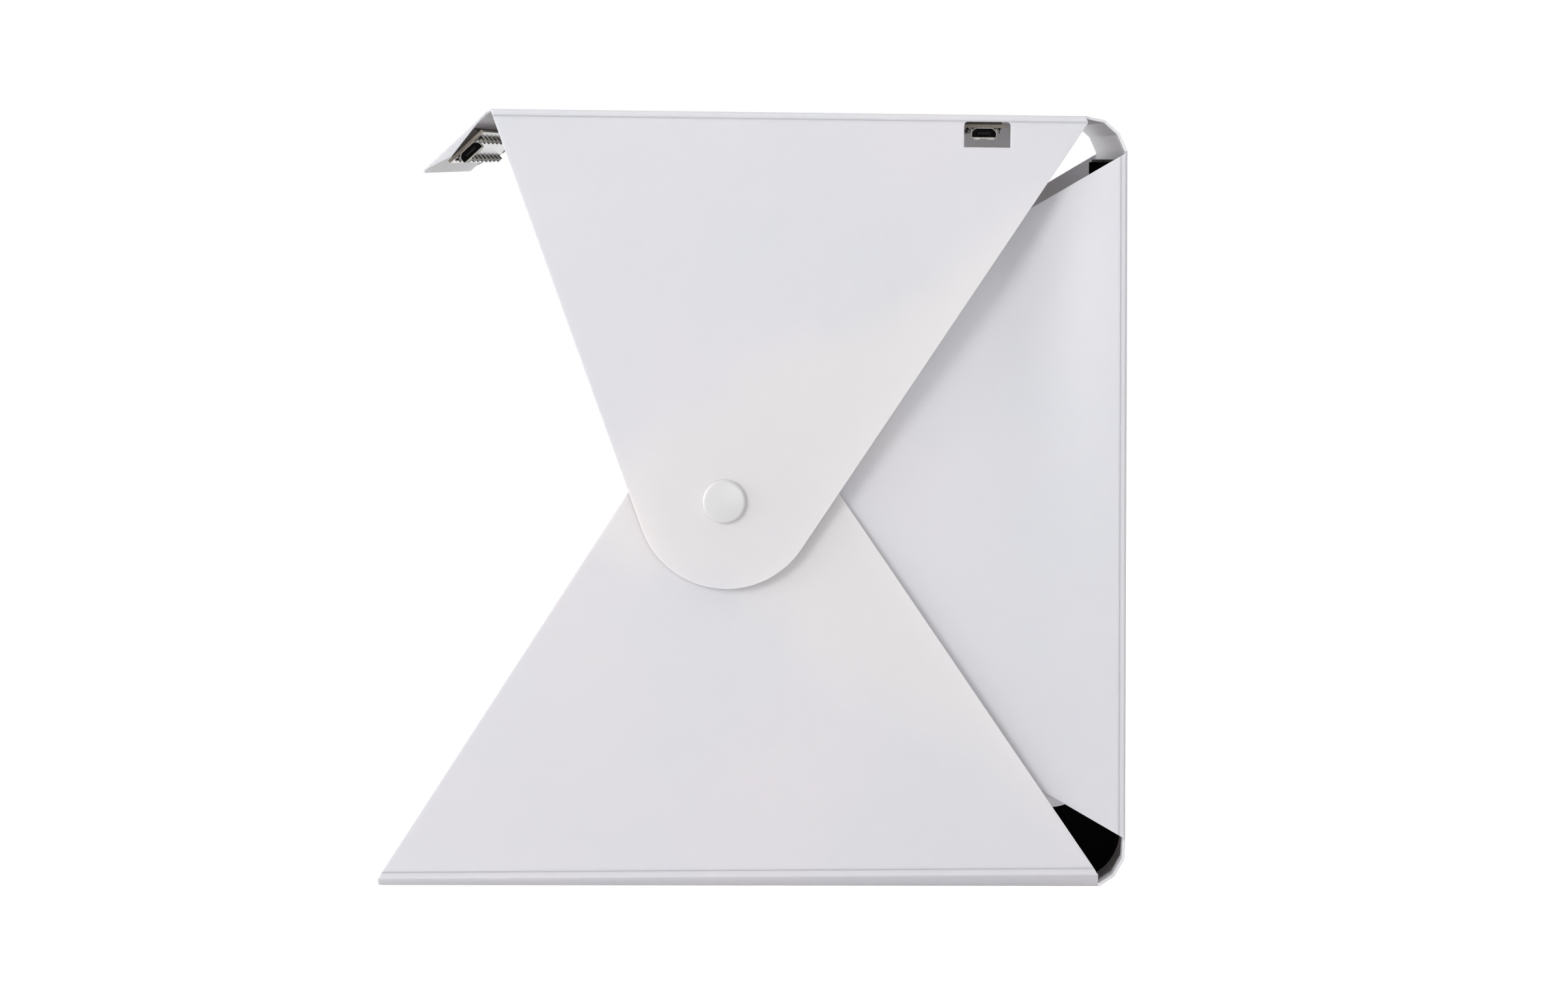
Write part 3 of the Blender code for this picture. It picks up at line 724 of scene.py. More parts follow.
def bentBand(seat, leg, bends, widths, twist=None, lastPlane=None):
    # A band of sheet bent round one or more creases, from one panel's flat to the next's.
    # seat is the first crease's middle, the way on and the way outwards. Each bend is its turn
    # in degrees and the way on to the next crease, which the last one doesn't use. widths
    # holds the band's two ends across it, before, between and after the bends.
    start, travel, outward = seat
    piece, arcs, end, heading = drawBand(leg, bends)
    if len(bends) == 1:
        tips = [Vector((0.0, 0.0)), end]  # a single bend tapers only beyond its crease
    else:
        tips = [arcs[0][0], arcs[0][1], arcs[-1][0], end]
    fitWidths(piece, tips, widths)
    matrix = placeFrom(travel.cross(outward), travel, outward, start)
    facing = sum(p.normal.z for p in piece.data.polygons if abs(p.center.z) < 1e-7)
    settle(piece, matrix)
    if twist:
        for v in piece.data.vertices:
            v.co = twist(v.co.copy())
    wall = sheetMake["thickness"]
    applyModifier(piece, "SOLIDIFY", thickness=wall, offset=-1.0 if facing > 0 else 1.0, use_even_offset=True)
    turned = travel * cos(heading) - outward * sin(heading)
    turnedOut = outward * cos(heading) + travel * sin(heading)
    firstEdge = start - travel * leg
    lastEdge = matrix @ Vector((0.0, end.x, end.y))
    breakEdges(piece, [(firstEdge, travel), lastPlane or (lastEdge, turned)])
    evenShading(piece)
    # both faces of each end stay with their own panel
    middleWay = (lastEdge - firstEdge).normalized()
    begin = firstEdge + middleWay * max(-outward.dot(middleWay) * wall, 0.0)
    stop = lastEdge - middleWay * max(turnedOut.dot(middleWay) * wall, 0.0)
    return piece, begin, stop


def finishBand(piece, name, bodies, begin, stop, replaced=()):
    finish(piece, name, "white_sheet", [polypropylene], None, replaced)
    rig.blend(piece, *bodies, begin, stop)


def bandAcross(name, bodies, start, leg, facets, halves, replaced=()):
    # a band across the box, the same on its right and left; facets are the angles on its way
    first, last = bodies
    headings = (angles[first], *facets, angles[last])
    bends = [(after - before, pitch) for before, after in zip(headings, headings[1:])]
    seat = (start, alongStrip(angles[first]), outOfStrip(angles[first]))
    piece, begin, stop = bentBand(seat, leg, bends, [(-half, half) for half in halves])
    finishBand(piece, name, bodies, begin, stop, replaced)


def panelTrims(panel, before, after, half):
    # planes that cut a panel back from the crease behind, the crease ahead and its side creases
    onward = alongStrip(angles[panel])
    trims = []
    if before:
        crease, leg = before
        trims.append((crease + onward * leg, -onward))
    if after:
        crease, leg = after
        trims.append((crease - onward * leg, onward))
    if half:
        for word, side in bothSides:
            trims.append((Vector((side * (half - sideLeg), 0.0, 0.0)), Vector((side, 0.0, 0.0))))
    return trims


panels = (  # the panel, its solid, the creases behind and ahead with their legs, half its width
    ("floor", "floor_panel", None, (lowerCreases[0], foldLeg), halfWidths["floor"]),
    ("back", "back_panel", (lowerCreases[3], foldLeg), (upperCreases[0], foldLeg), halfWidths["back"]),
    ("top", "top_panel", (upperCreases[3], foldLeg), (flapCrease, sideLeg), halfWidths["box"]),
    ("flap", "front_flap", (flapCrease, sideLeg), None, None),
)
for panel, node, before, after, half in panels:
    sheetFromNode(node, panelTrims(panel, before, after, half), f"{panel}Sheet")
for word, side in bothSides:
    sheetFromNode(f"flap_end_tab_{word}", [], f"flapEndTab_{word}")

bandAcross("lowerRearBend", ("floor", "back"), lowerCreases[0], foldLeg, angles["lower"],
           (halfWidths["floor"] - sideLeg, halfWidths["back"], halfWidths["back"] - sideLeg),
           ["lower_bend_1", "lower_bend_2", "lower_bend_3"])
bandAcross("upperRearBend", ("back", "top"), upperCreases[0], foldLeg, angles["upper"],
           (halfWidths["back"] - sideLeg, halfWidths["back"], halfWidths["box"] - sideLeg),
           ["upper_bend_1", "upper_bend_2", "upper_bend_3"])
bandAcross("flapCrease", ("top", "flap"), flapCrease, sideLeg, (),
           (halfWidths["box"] - sideLeg, halfWidths["flap"]))
print("folded strip made")


def outerNormal(node, side):
    # the wing's own outward way, from its largest faces
    total = Vector()
    for face in solidMesh(node).polygons:
        if face.normal.x * side > 0.9:
            total += face.normal * face.area
    return total.normalized()


def bowInwards(wing, start, onward, normal, word):
    # the crease springs the wing inwards, and the snap holds it: flat again from the snap on
    length = (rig.box(f"snap_inner_stud_{word}")[1] - start).dot(onward)
    low, high = sheetMake["bowHeights"]
    columns, rows = sheetMake["bowCuts"]
    up = Vector((0.0, 0.0, 1.0))
    openEdit(wing)
    for i in range(1, columns):
        cutAll(start + onward * length * i / columns, onward)
    for i in range(rows + 1):
        cutAll(up * (low + (high - low) * i / rows), up)
    closeEdit()
    least = sheetMake["bowLeast"]
    fromCrease, toSnap, bowEnd, overPeak = sheetMake["bowCurve"]
    for v in wing.data.vertices:
        share = clamp((v.co - start).dot(onward) / length)
        rise = clamp((v.co.z - low) / (high - low))
        rise = least + (1.0 - least) * rise * rise * (3.0 - 2.0 * rise)
        depth = share ** fromCrease * (1.0 - share) ** toSnap * (bowEnd - share) * overPeak
        v.co -= normal * sheetMake["bow"] * rise * depth
    evenShading(wing)


def makeWing(word, side, layer, panel):
    node = f"{layer}_wing_{word}"
    joint = f"{word}_side_open" if layer == "upper" else f"{word}_{layer}_side_open"
    crease = Vector(joints[joint]["axis"]).normalized()
    point = jointPoint(joint)
    normal = outerNormal(node, side)
    onward = normal.cross(crease).normalized()
    lowest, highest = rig.box(node)
    if ((lowest + highest) / 2 - point).dot(onward) < 0:
        onward.negate()
    trim = (point + onward * sideLeg, -onward)
    # painted light on the wings that have the back wing behind them
    look = polypropylene if layer == "back" else polypropyleneWithPaintedBacklight
    wing = sheetFromNode(node, [trim], f"{layer}Wing_{word}", look)
    if layer == "back":
        bowInwards(wing, trim[0], onward, normal, word)
    # the crease's band runs from the solid's corners on the crease to the sheet's cut
    corners = [v.co for v in solidMesh(node).vertices
               if (v.co - point).dot(onward) < sheetMake["creaseReach"]]
    cut = [v.co for v in wing.data.vertices if abs((v.co - trim[0]).dot(onward)) < sheetMake["onCut"]]
    travel, outward = Vector((side, 0.0, 0.0)), outOfStrip(angles[panel])
    middle = travel * halfWidths["floor"] if panel == "floor" else point.copy()
    across = travel.cross(outward)
    middle -= across * (middle.dot(across) - sum(c.dot(across) for c in corners) / len(corners))
    spans = []
    for line in (corners, cut):
        places = [(c - middle).dot(across) for c in line]
        spans.append((min(places), max(places)))
    name = f"{layer}WingCrease_{word}"
    bodies = (bodyOf[f"{panel}_panel"], bodyOf[node])
    seat = (middle, travel, outward)
    turn = degrees(travel.angle(onward))
    if panel == "floor":
        makeSkirt(name, word, side, bodies, seat, turn, onward, point, crease, spans)
    else:
        piece, begin, stop = bentBand(seat, sideLeg, [(turn, 0.0)], spans)
        finishBand(piece, name, bodies, begin, stop)


def makeSkirt(name, word, side, bodies, seat, turn, onward, point, crease, spans):
    # the floor's edge leans out to the skirt's top, which falls towards the front
    reach = Vector(((point.x - seat[0].x) * side, point.z))
    lean = degrees(atan2(reach.y, reach.x))
    rear = point.y
    slope = abs(crease.z / crease.y)

    def twist(place):
        drop = (rear - place.y) * slope * clamp(place.z / point.z)
        return Vector((place.x, place.y, place.z - drop))

    piece, _, _ = bentBand(seat, sideLeg, [(lean, reach.length), (turn - lean, 0.0)],
                           [spans[0], spans[0], spans[1]], twist, (point + onward * sideLeg, onward))
    begin, stop = (Vector((side * out, 0.0, up)) for out, up in sheetMake["skirtBlend"])
    finishBand(piece, name, bodies, begin, stop, [f"lower_skirt_{word}"])


for word, side in bothSides:
    makeWing(word, side, "upper", "top")
    makeWing(word, side, "lower", "floor")
    makeWing(word, side, "back", "back")
print("wings and creases made")


def makeBox(low, high):
    # a box from its lowest to its highest corner
    deselectAll()
    middle = [(a + b) / 2 for a, b in zip(low, high)]
    bpy.ops.mesh.primitive_cube_add(size=1.0, location=middle, scale=[b - a for a, b in zip(low, high)])
    bakePlace()
    return bpy.context.object


def bevelSharp(piece, width):
    # all edges that turn by about 70 degrees or more
    bevelWhere(piece, width, lambda e: e.calc_face_angle(0.0) > 1.2)


def roundCorners(width, steps):
    bpy.ops.mesh.bevel(offset=width, segments=steps, affect="VERTICES")


def span(edge, axis):
    return abs(edge.verts[0].co[axis] - edge.verts[1].co[axis])


def onSide(side, near, far):
    # from near to far on one side of the middle, the lower one first
    return sorted((side * near, side * far))


def joinAll(pieces):
    deselectAll()
    for piece in pieces:
        piece.select_set(True)
    bpy.context.view_layer.objects.active = pieces[0]
    bpy.ops.object.join()
    return pieces[0]


def copyAt(piece, place):
    # a copy with its own mesh
    other = addObject(piece.name, piece.data.copy())
    settle(other, Matrix.Translation(place))
    return other


def paintFaces(piece, index, test):
    for face in piece.data.polygons:
        if test(face):
            face.material_index = index


def turnedPiece(profile, corners):
    # a ring of the first radius, drawn on through the profile's radii and heights
    deselectAll()
    radius, height = profile[0]
    bpy.ops.mesh.primitive_circle_add(vertices=corners, radius=radius, location=(0.0, 0.0, height))
    piece = bpy.context.object
    bakePlace()
    openEdit(piece, "EDGE")
    selectAll()
    for nextRadius, nextHeight in profile[1:]:
        drawEdges((0.0, 0.0, nextHeight - height))
        if nextRadius != radius:
            grow = nextRadius / radius
            resize((grow, grow, 1.0))
        radius, height = nextRadius, nextHeight
    mergeDoubles()
    selectAll()
    bpy.ops.mesh.fill_holes(sides=0)
    faceOutwards()
    closeEdit()
    return piece


def roundOver(radius, height, rounding, steps=3):
    # the profile of a rounded outer corner, from its wall to its face
    turns = [pi / 2 * i / steps for i in range(steps + 1)]
    wall, face = radius - rounding, height - rounding
    return [(wall + rounding * cos(turn), face + rounding * sin(turn)) for turn in turns]


snapMake = {
    "sides": 64,
    "capRadius": 6.75 * mm,
    "capFoot": 0.1 * mm,      # slant at the foot of the cap's wall
    "capRim": 1.45 * mm,      # face of the cap above the sheet
    "capCrown": 1.8 * mm,
    "capRounding": 0.95 * mm,
    "capSteps": (6, 8),       # of the rounding and of the crown
    "pinRadius": 1.0 * mm,
    "pinReach": 0.9 * mm,     # beyond the wing that the pin goes through
    "pinShort": 0.3 * mm,     # of the inner stud and cap, which end in the wing
    "flangeRadius": 5.0 * mm,
    "flangeHeight": 0.5 * mm,
    "collarRadius": 2.5 * mm,
    "collarHeight": 1.4 * mm,
    "boreRadius": 1.5 * mm,
    "boreDepth": 0.8 * mm,
    "socketBore": 3.3 * mm,
    "socketHeight": 0.9 * mm,
    "rounding": 0.2 * mm,
    "lastRing": 0.2 * mm,     # radius at which a face is closed
    "lift": 0.02 * mm,
}


def capProfile(pinFoot):
    s = snapMake
    pin, radius, rim, foot = s["pinRadius"], s["capRadius"], s["capRim"], s["capFoot"]
    flat, rise = radius - s["capRounding"], s["capCrown"] - rim
    roundSteps, crownSteps = s["capSteps"]
    profile = [(pin, pinFoot), (pin, 0.0), (radius - foot, 0.0), (radius, foot)]
    profile += roundOver(radius, rim, s["capRounding"], roundSteps)
    for i in range(1, crownSteps):
        share = i / crownSteps
        profile.append((flat * (1 - share), rim + rise * sin(share * pi / 2)))
    return profile + [(s["lastRing"], s["capCrown"])]


def studProfile(pinFoot):
    s = snapMake
    pin, top, floor = s["pinRadius"], s["collarHeight"], s["collarHeight"] - s["boreDepth"]
    profile = [(pin, pinFoot), (pin, 0.0), (s["flangeRadius"], 0.0)]
    profile += roundOver(s["flangeRadius"], s["flangeHeight"], s["rounding"])
    profile += [(s["collarRadius"], s["flangeHeight"])]
    profile += roundOver(s["collarRadius"], top, s["rounding"])
    return profile + [(s["boreRadius"], top), (s["boreRadius"], floor), (s["lastRing"], floor)]


def socketProfile():
    s = snapMake
    inner, top = s["socketBore"], s["socketHeight"]
    profile = [(inner, 0.0), (s["flangeRadius"], 0.0)] + roundOver(s["flangeRadius"], top, s["rounding"])
    return profile + [(inner + s["rounding"], top), (inner, top - s["rounding"]), (inner, 0.0)]


def placeSnap(part, word, side, profile, outwards):
    # The axis is square to the wing; a part's flat base lies on the sheet where the solid's does.
    node = f"snap_{part}_{word}"
    wing = f"{bodyOf[node].split('_')[0]}_wing_{word}"
    normal = outerNormal(wing, side)
    solid = [v.co for v in solidMesh(node).vertices]
    middle = sum(solid, Vector()) / len(solid)
    outerFace = next(f.center for f in solidMesh(wing).polygons if f.normal.dot(normal) > 0.99).dot(normal)
    way, base = normal, outerFace + snapMake["lift"]
    if not outwards:
        way, base = -normal, outerFace - sheetMake["thickness"] - snapMake["lift"]
    piece = turnedPiece(profile, snapMake["sides"])
    matrix = way.to_track_quat("Z", "Y").to_matrix().to_4x4()
    matrix.translation = middle + normal * (base - middle.dot(normal))
    settle(piece, matrix)
    evenShading(piece, 30)
    name = "snap" + part.title().replace("_", "")
    finish(piece, f"{name}_{word}", "snap_plastic", [snapPlastic], bodyOf[node], [node])


throughWing = -sheetMake["thickness"] - snapMake["pinReach"]
inWing = -snapMake["pinShort"]
snapParts = (  # from the outside in: the part, its profile, and whether it faces outwards
    ("cap", capProfile(throughWing), True),
    ("socket", socketProfile(), False),
    ("middle_stud", studProfile(throughWing), True),
    ("middle_socket", socketProfile(), False),
    ("inner_stud", studProfile(inWing), True),
    ("inner_cap", capProfile(inWing), False),
)
for word, side in bothSides:
    for part, profile, outwards in snapParts:
        placeSnap(part, word, side, profile, outwards)
print("press snaps made")


lightMake = {
    "boardLength": 216.5 * mm,
    "boardWidth": 14.1 * mm,
    "boardThickness": 1.0 * mm,
    "boardBevel": 0.08 * mm,
    "maskInset": 0.3 * mm,
    "maskRise": 0.03 * mm,
    "standoff": 2.1 * mm,
    "rightEnd": 109.5 * mm,
    "topPlace": 31.2 * mm,    # along the top panel from its rear crease
    "flapPlace": 13.2 * mm,   # along the flap from its crease
    "tapeInset": 1.5 * mm,
    "tapeCuts": 120,
    "tapeUneven": 0.06 * mm,
    "ledCount": 10,
    "ledEnd": 10.0 * mm,
    "ledLength": 3.0 * mm,
    "ledWidth": 1.8 * mm,
    "ledHeight": 1.5 * mm,
    "ledBevel": 0.12 * mm,
    "ledFrame": 0.2 * mm,
    "ledWindow": (0.12 * mm, 0.9),  # depth, and size of its floor against its top
    "ledPale": 0.6,           # share of the width between the sides darkened with painted shade
    "rowSpread": 8.4 * mm,
    "padLength": 0.8,         # share of the package's length
    "padSpan": (-0.1 * mm, 0.5 * mm),  # from the package's side
    "padHeight": 0.14 * mm,
    "padBevel": 0.05 * mm,
    "lift": 0.02 * mm,
}
rightEnd = lightMake["rightEnd"]
leftEnd = rightEnd - lightMake["boardLength"]
boardFace = lightMake["standoff"] + lightMake["boardThickness"] + lightMake["maskRise"]


def lightSeat(creasePoint, angle, along):
    # x across the box, y along the strip, z towards the inside
    forward, inward = alongStrip(angle), -outOfStrip(angle)
    origin = creasePoint + forward * along + inward * sheetMake["thickness"]
    return placeFrom(Vector((1.0, 0.0, 0.0)), forward, inward, origin)


def makeTape(matrix):
    m = lightMake
    inset = m["tapeInset"]
    half = m["boardWidth"] / 2 - inset
    tape = makeBox((leftEnd + inset, -half, m["lift"]),
                   (rightEnd - inset, half, m["standoff"] - m["lift"]))
    openEdit(tape, "EDGE")
    selectWhere(tape, "edges", lambda e: span(e, 0) > half)
    bpy.ops.mesh.subdivide(number_cuts=m["tapeCuts"])
    selectAll()
    bpy.ops.transform.vertex_random(offset=m["tapeUneven"], seed=4)
    closeEdit()
    settle(tape, matrix)
    smoothByAngle(tape)
    return tape


def makeBoard(matrix):
    m = lightMake
    half, low = m["boardWidth"] / 2, m["standoff"]
    board = painted(makeBox((leftEnd, -half, low), (rightEnd, half, low + m["boardThickness"])),
                    whiteMask, boardEdge)
    openEdit(board, "FACE")
    selectWhere(board, "faces", lambda f: f.normal.z > 0.9)
    bpy.ops.mesh.inset(thickness=m["maskInset"], depth=m["maskRise"])
    closeEdit()
    bevelSharp(board, m["boardBevel"])
    paintFaces(board, 1, lambda f: abs(f.normal.z) < 0.5)
    settle(board, matrix)
    evenShading(board, 30)
    return board


def makeLed():
    # one package: a pale body between two sides darkened with painted shade, with a sunk yellow window on top
    m = lightMake
    half, wide, high = m["ledLength"] / 2, m["ledWidth"] / 2, m["ledHeight"]
    middle = wide * m["ledPale"]
    sunk, floorSize = m["ledWindow"]
    led = painted(makeBox((-half, -wide, 0.0), (half, wide, high)), ledFrame, ledPhosphor, ledEnd)
    bevelWhere(led, m["ledBevel"], lambda e: span(e, 2) > high / 3)
    openEdit(led, "FACE")
    for side in (-1.0, 1.0):
        cutAll((0.0, side * middle, 0.0), (0.0, 1.0, 0.0))
    selectWhere(led, "faces", lambda f: f.normal.z > 0.9 and abs(f.calc_center_median().y) < middle)
    bpy.ops.mesh.inset(thickness=m["ledFrame"])
    drawFaces((0.0, 0.0, -sunk))
    resize((floorSize, floorSize, 1.0))
    closeEdit()
    paintFaces(led, 1, lambda f: f.normal.z > 0.9 and f.center.z < high - sunk / 2)
    # painted shade on the package's two sides
    paintFaces(led, 2, lambda f: abs(f.center.y) > middle)
    pads = []
    for side in (-1.0, 1.0):
        near, far = onSide(side, *(wide + reach for reach in m["padSpan"]))
        pad = makeBox((-half * m["padLength"], near, 0.0), (half * m["padLength"], far, m["padHeight"]))
        bevelSharp(pad, m["padBevel"])
        pads.append(painted(pad, solderTin))
    return joinAll([led] + pads)


def makeLedRow(matrix, placeY):
    m = lightMake
    step = (m["boardLength"] - 2 * m["ledEnd"]) / (m["ledCount"] - 1)
    led = makeLed()
    first, base = leftEnd + m["ledEnd"], boardFace + m["lift"]
    leds = [copyAt(led, (first + step * i, placeY, base)) for i in range(m["ledCount"])]
    bpy.data.objects.remove(led)
    row = joinAll(leds)
    settle(row, matrix)
    evenShading(row, 30)
    return row


usbMake = {
    "width": 7.8 * mm,
    "narrow": 5.1 * mm,
    "height": 3.1 * mm,
    "shoulder": 1.25 * mm,    # where the slanted sides meet the upright ones
    "corner": (0.45 * mm, 4),  # rounding and its steps
    "length": 5.6 * mm,
    "wall": 0.17 * mm,
    "depth": 4.8 * mm,
    "overhang": 0.8 * mm,
    "lipWidth": 6.4 * mm,
    "lipReach": 0.55 * mm,
    "lipWall": 0.25 * mm,
    "lipRoot": 0.05 * mm,
    "slotWidth": 2.1 * mm,
    "slotFloor": 0.45,        # share of the lip under its slot
    "ear": (1.3 * mm, 0.3 * mm),
    "earRoot": 0.1 * mm,
    "legWidth": 0.9 * mm,
    "legsBack": (1.6 * mm, 4.4 * mm),
    "legSpan": (-0.3 * mm, 0.1 * mm),  # from the shell's side
    "bevel": 0.06 * mm,
    "earBevel": 0.05 * mm,
    "solder": (0.85 * mm, 0.6 * mm, 0.45 * mm),
    "solderOut": 0.15 * mm,
}
usbMouth = rightEnd + usbMake["overhang"]
usbBase = boardFace + lightMake["lift"]


def makeUsbTube():
    # drawn as its mouth's outline, then drawn back along the board and hollowed
    u = usbMake
    half = u["height"] / 2
    foot, middle = (usbMouth, 0.0, usbBase), usbBase + half
    tube = newPlane((u["height"], u["width"]), (usbMouth, 0.0, middle), (0.0, pi / 2, 0.0))
    painted(tube, shellTinWithPaintedShade, darkMoulding)
    openEdit(tube)
    # the narrow side lies on the board: its corners are cut away to the shoulder
    selectWhere(tube, "verts", lambda v: v.co.z < middle)
    resize((1.0, u["narrow"] / u["width"], 1.0), foot)
    selectMode("EDGE")
    selectWhere(tube, "edges", lambda e: span(e, 2) > half)
    bpy.ops.mesh.subdivide(number_cuts=1)
    selectMode("VERT")
    selectWhere(tube, "verts", lambda v: abs(v.co.z - middle) < 0.01 * mm)
    bpy.ops.transform.translate(value=(0.0, 0.0, u["shoulder"] - half))
    resize((1.0, u["width"] / ((u["width"] + u["narrow"]) / 2), 1.0), foot)
    selectAll()
    roundCorners(*u["corner"])
    selectMode("FACE")
    selectAll()
    drawFaces((-u["length"], 0.0, 0.0))
    faceOutwards()
    selectWhere(tube, "faces", lambda f: f.normal.x > 0.9)
    bpy.ops.mesh.inset(thickness=u["wall"])
    drawFaces((-u["depth"], 0.0, 0.0))
    closeEdit()

    def isInside(face):
        if abs(face.normal.x) > 0.9:
            return abs(face.center.x - usbMouth + u["depth"]) < 0.05 * mm
        return Vector((0.0, -face.center.y, middle - face.center.z)).dot(face.normal) > 0.0

    paintFaces(tube, 1, isInside)
    return tube


def makeUsbLip():
    # the flared lip beyond the wide side, with its slot
    u = usbMake
    top, reach = usbBase + u["height"], u["lipReach"]
    half, halfSlot = u["lipWidth"] / 2, u["slotWidth"] / 2
    lip = makeBox((usbMouth - u["lipWall"], -half, top - u["lipRoot"]), (usbMouth, half, top + reach))
    slot = makeBox((usbMouth - reach * 2, -halfSlot, top + reach * u["slotFloor"]),
                   (usbMouth + reach, halfSlot, top + reach * 2))
    applyModifier(lip, "BOOLEAN", object=slot, operation="DIFFERENCE", solver="EXACT")
    bpy.data.objects.remove(slot)
    bevelSharp(lip, u["bevel"])
    return painted(lip, shellTinWithPaintedShade)


def makeUsbEar(side):
    # on the slanted side
    u = usbMake
    ear = makeBox((usbMouth - u["lipWall"], 0.0, 0.0), (usbMouth, *u["ear"]))
    lean = Matrix.Rotation(atan2(u["shoulder"], (u["width"] - u["narrow"]) / 2), 4, "X")
    flip = Matrix.Scale(side, 4, (0.0, 1.0, 0.0))
    foot = Matrix.Translation((0.0, u["narrow"] / 2 + u["earRoot"], usbBase - u["earRoot"]))
    settle(ear, flip @ foot @ lean)
    openEdit(ear, "FACE")
    faceOutwards()
    closeEdit()
    bevelSharp(ear, u["earBevel"])
    return painted(ear, shellTinWithPaintedShade)


def makeUsbLeg(side, back):
    # a leg and the mound of solder that holds it to the board
    u = usbMake
    half, floor, x = u["width"] / 2, usbBase - lightMake["lift"], usbMouth - back
    near, far = onSide(side, *(half + reach for reach in u["legSpan"]))
    leg = makeBox((x - u["legWidth"], near, floor), (x, far, usbBase + u["shoulder"]))
    bevelSharp(leg, u["bevel"])
    deselectAll()
    place = (x - u["legWidth"] / 2, side * (half + u["solderOut"]), usbBase)
    bpy.ops.mesh.primitive_uv_sphere_add(segments=20, ring_count=10, radius=1.0,
                                         location=place, scale=u["solder"])
    solder = bpy.context.object
    bakePlace()
    openEdit(solder, "FACE")
    cutAll((0.0, 0.0, floor), (0.0, 0.0, -1.0), use_fill=True, clear_outer=True)
    closeEdit()
    smoothByAngle(solder, 50)
    return [painted(leg, shellTinWithPaintedShade), painted(solder, solderTin)]


def makeUsbShell(matrix):
    pieces = [makeUsbTube(), makeUsbLip()]
    for side in (-1.0, 1.0):
        pieces.append(makeUsbEar(side))
        for back in usbMake["legsBack"]:
            pieces += makeUsbLeg(side, back)
    shell = joinAll(pieces)
    settle(shell, matrix)
    evenShading(shell, 30)
    return shell


chipMake = {
    "places": (  # back from the right end, along the strip, length and width, in millimetres
        (8.6, -4.6, 2.0, 1.3), (8.6, 4.7, 2.0, 1.3), (8.4, 2.3, 1.6, 0.8), (8.4, -2.2, 1.6, 0.8)),
    "height": 0.55 * mm,
    "bevel": 0.05 * mm,
    "bodyInset": 0.3 * mm,
    "endSpan": (-0.32 * mm, 0.12 * mm),  # of the tinned ends, from the chip's end
    "endHeight": 0.57 * mm,
    "endWidth": 1.03,         # against the body's
    "endBevel": 0.06 * mm,
    "padBack": 3.5 * mm,      # of the two solder pads, from the board's left end
    "padAlong": (-1.5 * mm, 1.5 * mm),
    "padProfile": (  # radii and heights, in millimetres
        (0.2, 0.0), (1.0, 0.0), (1.0, 0.06), (0.8, 0.2), (0.45, 0.32), (0.15, 0.35)),
    "padSides": 24,
}


def makeChip(back, along, length, width):
    c = chipMake
    x, y = rightEnd - back * mm, along * mm
    half, wide = length * mm / 2, width * mm / 2
    inset, endWide, top = c["bodyInset"], wide * c["endWidth"], boardFace + c["height"]
    body = makeBox((x - wide, y - half + inset, boardFace), (x + wide, y + half - inset, top))
    bevelSharp(body, c["bevel"])
    chip = [painted(body, darkMoulding)]
    for side in (-1.0, 1.0):
        near, far = onSide(side, *(half + reach for reach in c["endSpan"]))
        end = makeBox((x - endWide, y + near, boardFace), (x + endWide, y + far, boardFace + c["endHeight"]))
        bevelSharp(end, c["endBevel"])
        chip.append(painted(end, solderTin))
    return chip


def makeBoardParts(matrix):
    # the chips beside the socket, and a low dome of tin on each pad at the board's far end
    pieces = []
    for row in chipMake["places"]:
        pieces += makeChip(*row)
    profile = [(radius * mm, height * mm) for radius, height in chipMake["padProfile"]]
    for along in chipMake["padAlong"]:
        pad = turnedPiece(profile, chipMake["padSides"])
        settle(pad, Matrix.Translation((leftEnd + chipMake["padBack"], along, boardFace)))
        pieces.append(painted(pad, solderTin))
    parts = joinAll(pieces)
    settle(parts, matrix)
    evenShading(parts, 30)
    return parts


def makeLight(word, matrix):
    prefix = f"{word}_light"
    body = bodyOf[f"{prefix}_board"]
    finish(makeTape(matrix), f"{word}LightTape", "foam_tape", [foamTape], body, [f"{prefix}_tape"])
    finish(makeBoard(matrix), f"{word}LightBoard", "circuit_board", None, body, [f"{prefix}_board"])
    for place, sign in (("rear", -0.5), ("front", 0.5)):
        row = makeLedRow(matrix, sign * lightMake["rowSpread"])
        finish(row, f"{word}LightLeds_{place}", "led_package", None, body, [f"{prefix}_leds_{place}"])
    finish(makeUsbShell(matrix), f"{word}LightUsbShell", "socket_metal", None, body, [f"{prefix}_usb_shell"])
    finish(makeBoardParts(matrix), f"{word}LightParts", "led_package", None, body)


makeLight("top", lightSeat(upperCreases[3], angles["top"], lightMake["topPlace"]))
makeLight("flap", lightSeat(flapCrease, angles["flap"], lightMake["flapPlace"]))
print("light boards made")


backdropMake = {
    "thickness": 0.5 * mm,
    "sweep": 15.0 * mm,
    "sweepSteps": 28,
    "corner": (3.0 * mm, 6),  # rounding and its steps
}


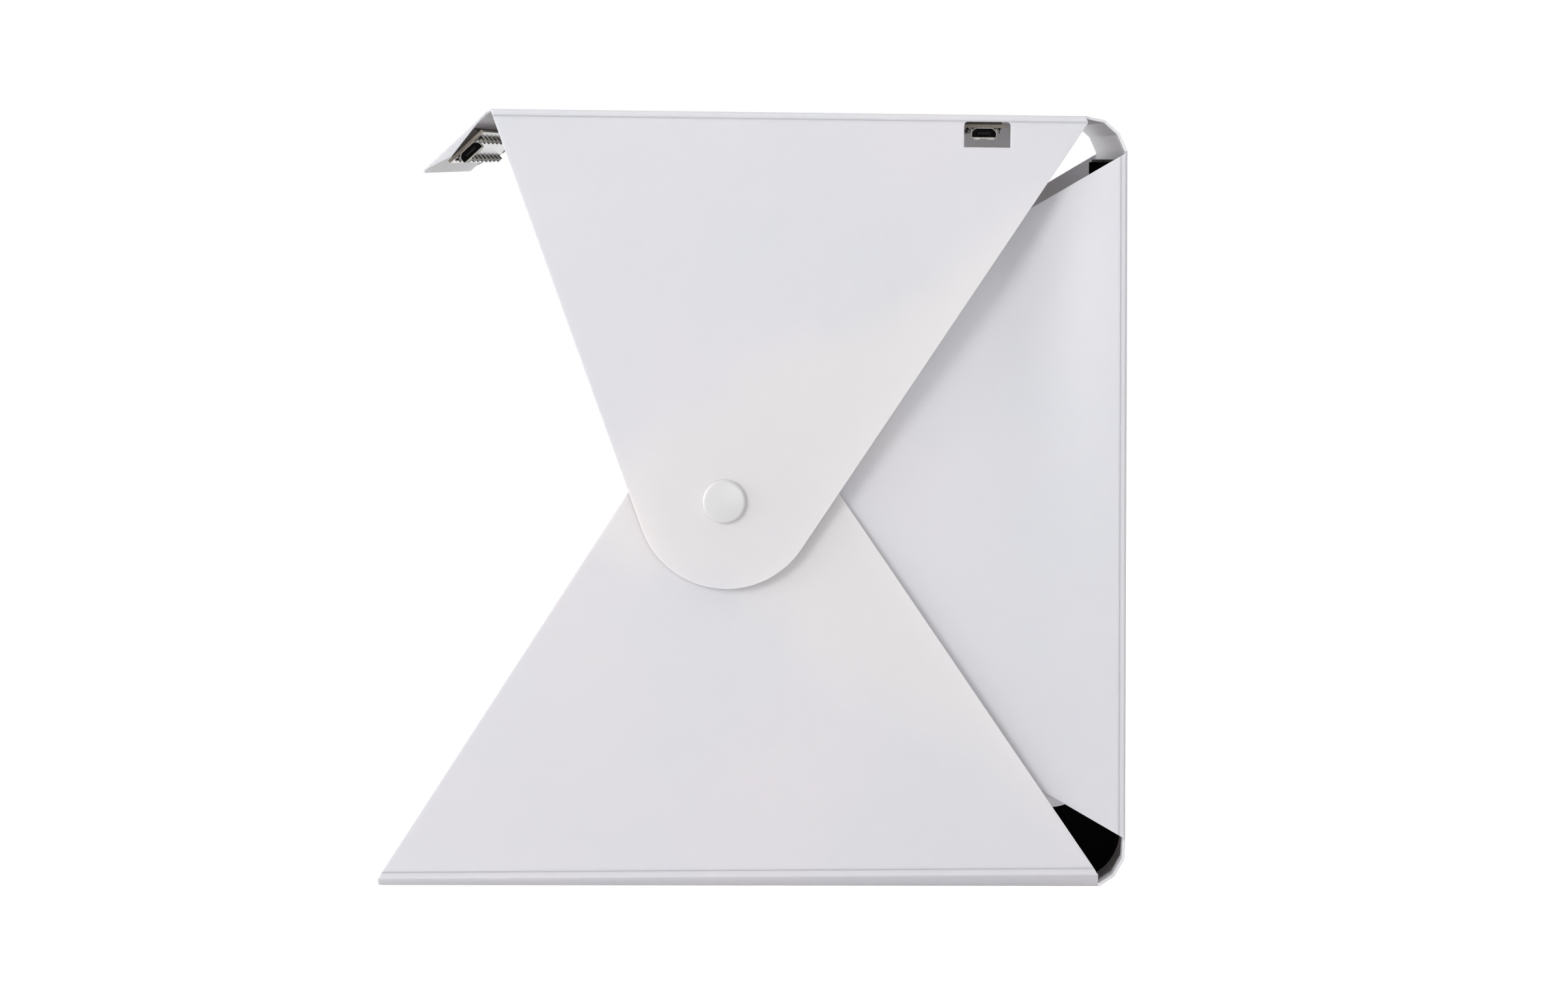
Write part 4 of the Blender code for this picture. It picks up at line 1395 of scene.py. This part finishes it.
def makeBackdrop():
    # the front edge is drawn back over the floor, round the sweep and up to the top edge
    b = backdropMake
    low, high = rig.box("backdrop_sheet")
    topY = max(v.co.y for v in solidMesh("backdrop_sheet").vertices if v.co.z > high.z - 0.05 * mm)
    middle = Vector((0.0, high.y - b["sweep"], low.z + b["sweep"]))
    leanIn = atan2(high.y - topY, high.z - middle.z)
    sheet = newPlane((high.x - low.x, middle.y - low.y), (0.0, (middle.y + low.y) / 2, low.z))
    openEdit(sheet)
    selectWhere(sheet, "verts", lambda v: v.co.y < middle.y - 1e-5)
    roundCorners(*b["corner"])
    selectMode("EDGE")
    selectWhere(sheet, "edges", lambda e: all(v.co.y > middle.y - 1e-5 for v in e.verts))
    bpy.ops.mesh.spin(steps=b["sweepSteps"], angle=-(pi / 2 + leanIn), center=middle, axis=(1.0, 0.0, 0.0))
    upLength = (high.z - middle.z) / cos(leanIn)
    drawEdges((0.0, -upLength * sin(leanIn), upLength * cos(leanIn)))
    selectMode("VERT")
    selectWhere(sheet, "verts", lambda v: v.co.z > high.z - 5 * mm)
    roundCorners(*b["corner"])
    mergeDoubles()
    faceOutwards()
    closeEdit()
    floorPart = min(sheet.data.polygons, key=lambda f: f.center.z)
    outside = 1.0 if floorPart.normal.z > 0 else -1.0
    applyModifier(sheet, "SOLIDIFY", thickness=b["thickness"], offset=outside, use_even_offset=True)
    evenShading(sheet, 40)
    return sheet


finish(makeBackdrop(), "backdropSheet", "black_sheet", [blackSheet], bodyOf["backdrop_sheet"],
       ["backdrop_sheet"])

stripMake = {"rounding": 0.15 * mm, "fuzz": 0.05 * mm, "cuts": 14}


def makeStrip(kind, word):
    # a woven strip whose face is a fine fuzz of hooks or loops
    node = f"{kind}_strip_{word}"
    strip = copyOfSolid(node, f"{kind}Strip_{word}")
    bevelWhere(strip, stripMake["rounding"], lambda e: True)
    openEdit(strip, "FACE")
    selectWhere(strip, "faces", lambda f: abs(f.normal.y) > 0.9)
    bpy.ops.mesh.subdivide(number_cuts=stripMake["cuts"])
    selectWhere(strip, "verts", lambda v: all(abs(f.normal.y) > 0.9 for f in v.link_faces))
    bpy.ops.transform.vertex_random(offset=stripMake["fuzz"], seed=7)
    closeEdit()
    smoothByAngle(strip, 40)
    finish(strip, f"{kind}Strip_{word}", "hook_and_loop", [hookLoop], bodyOf[node], [node])


for word, side in bothSides:
    for kind in ("hook", "loop"):
        makeStrip(kind, word)
print("backdrop and strips made")

for word in ("top", "flap"):
    for slotOfNode in frame["nodes"][f"{word}_light_usb_tongue"].material_slots:
        slotOfNode.material = darkMoulding

sizes = {"cad": [list(c) for c in cadBox], "visual": [list(c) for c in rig.bounds()]}
with open("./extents.json", "w") as out:
    json.dump(sizes, out)
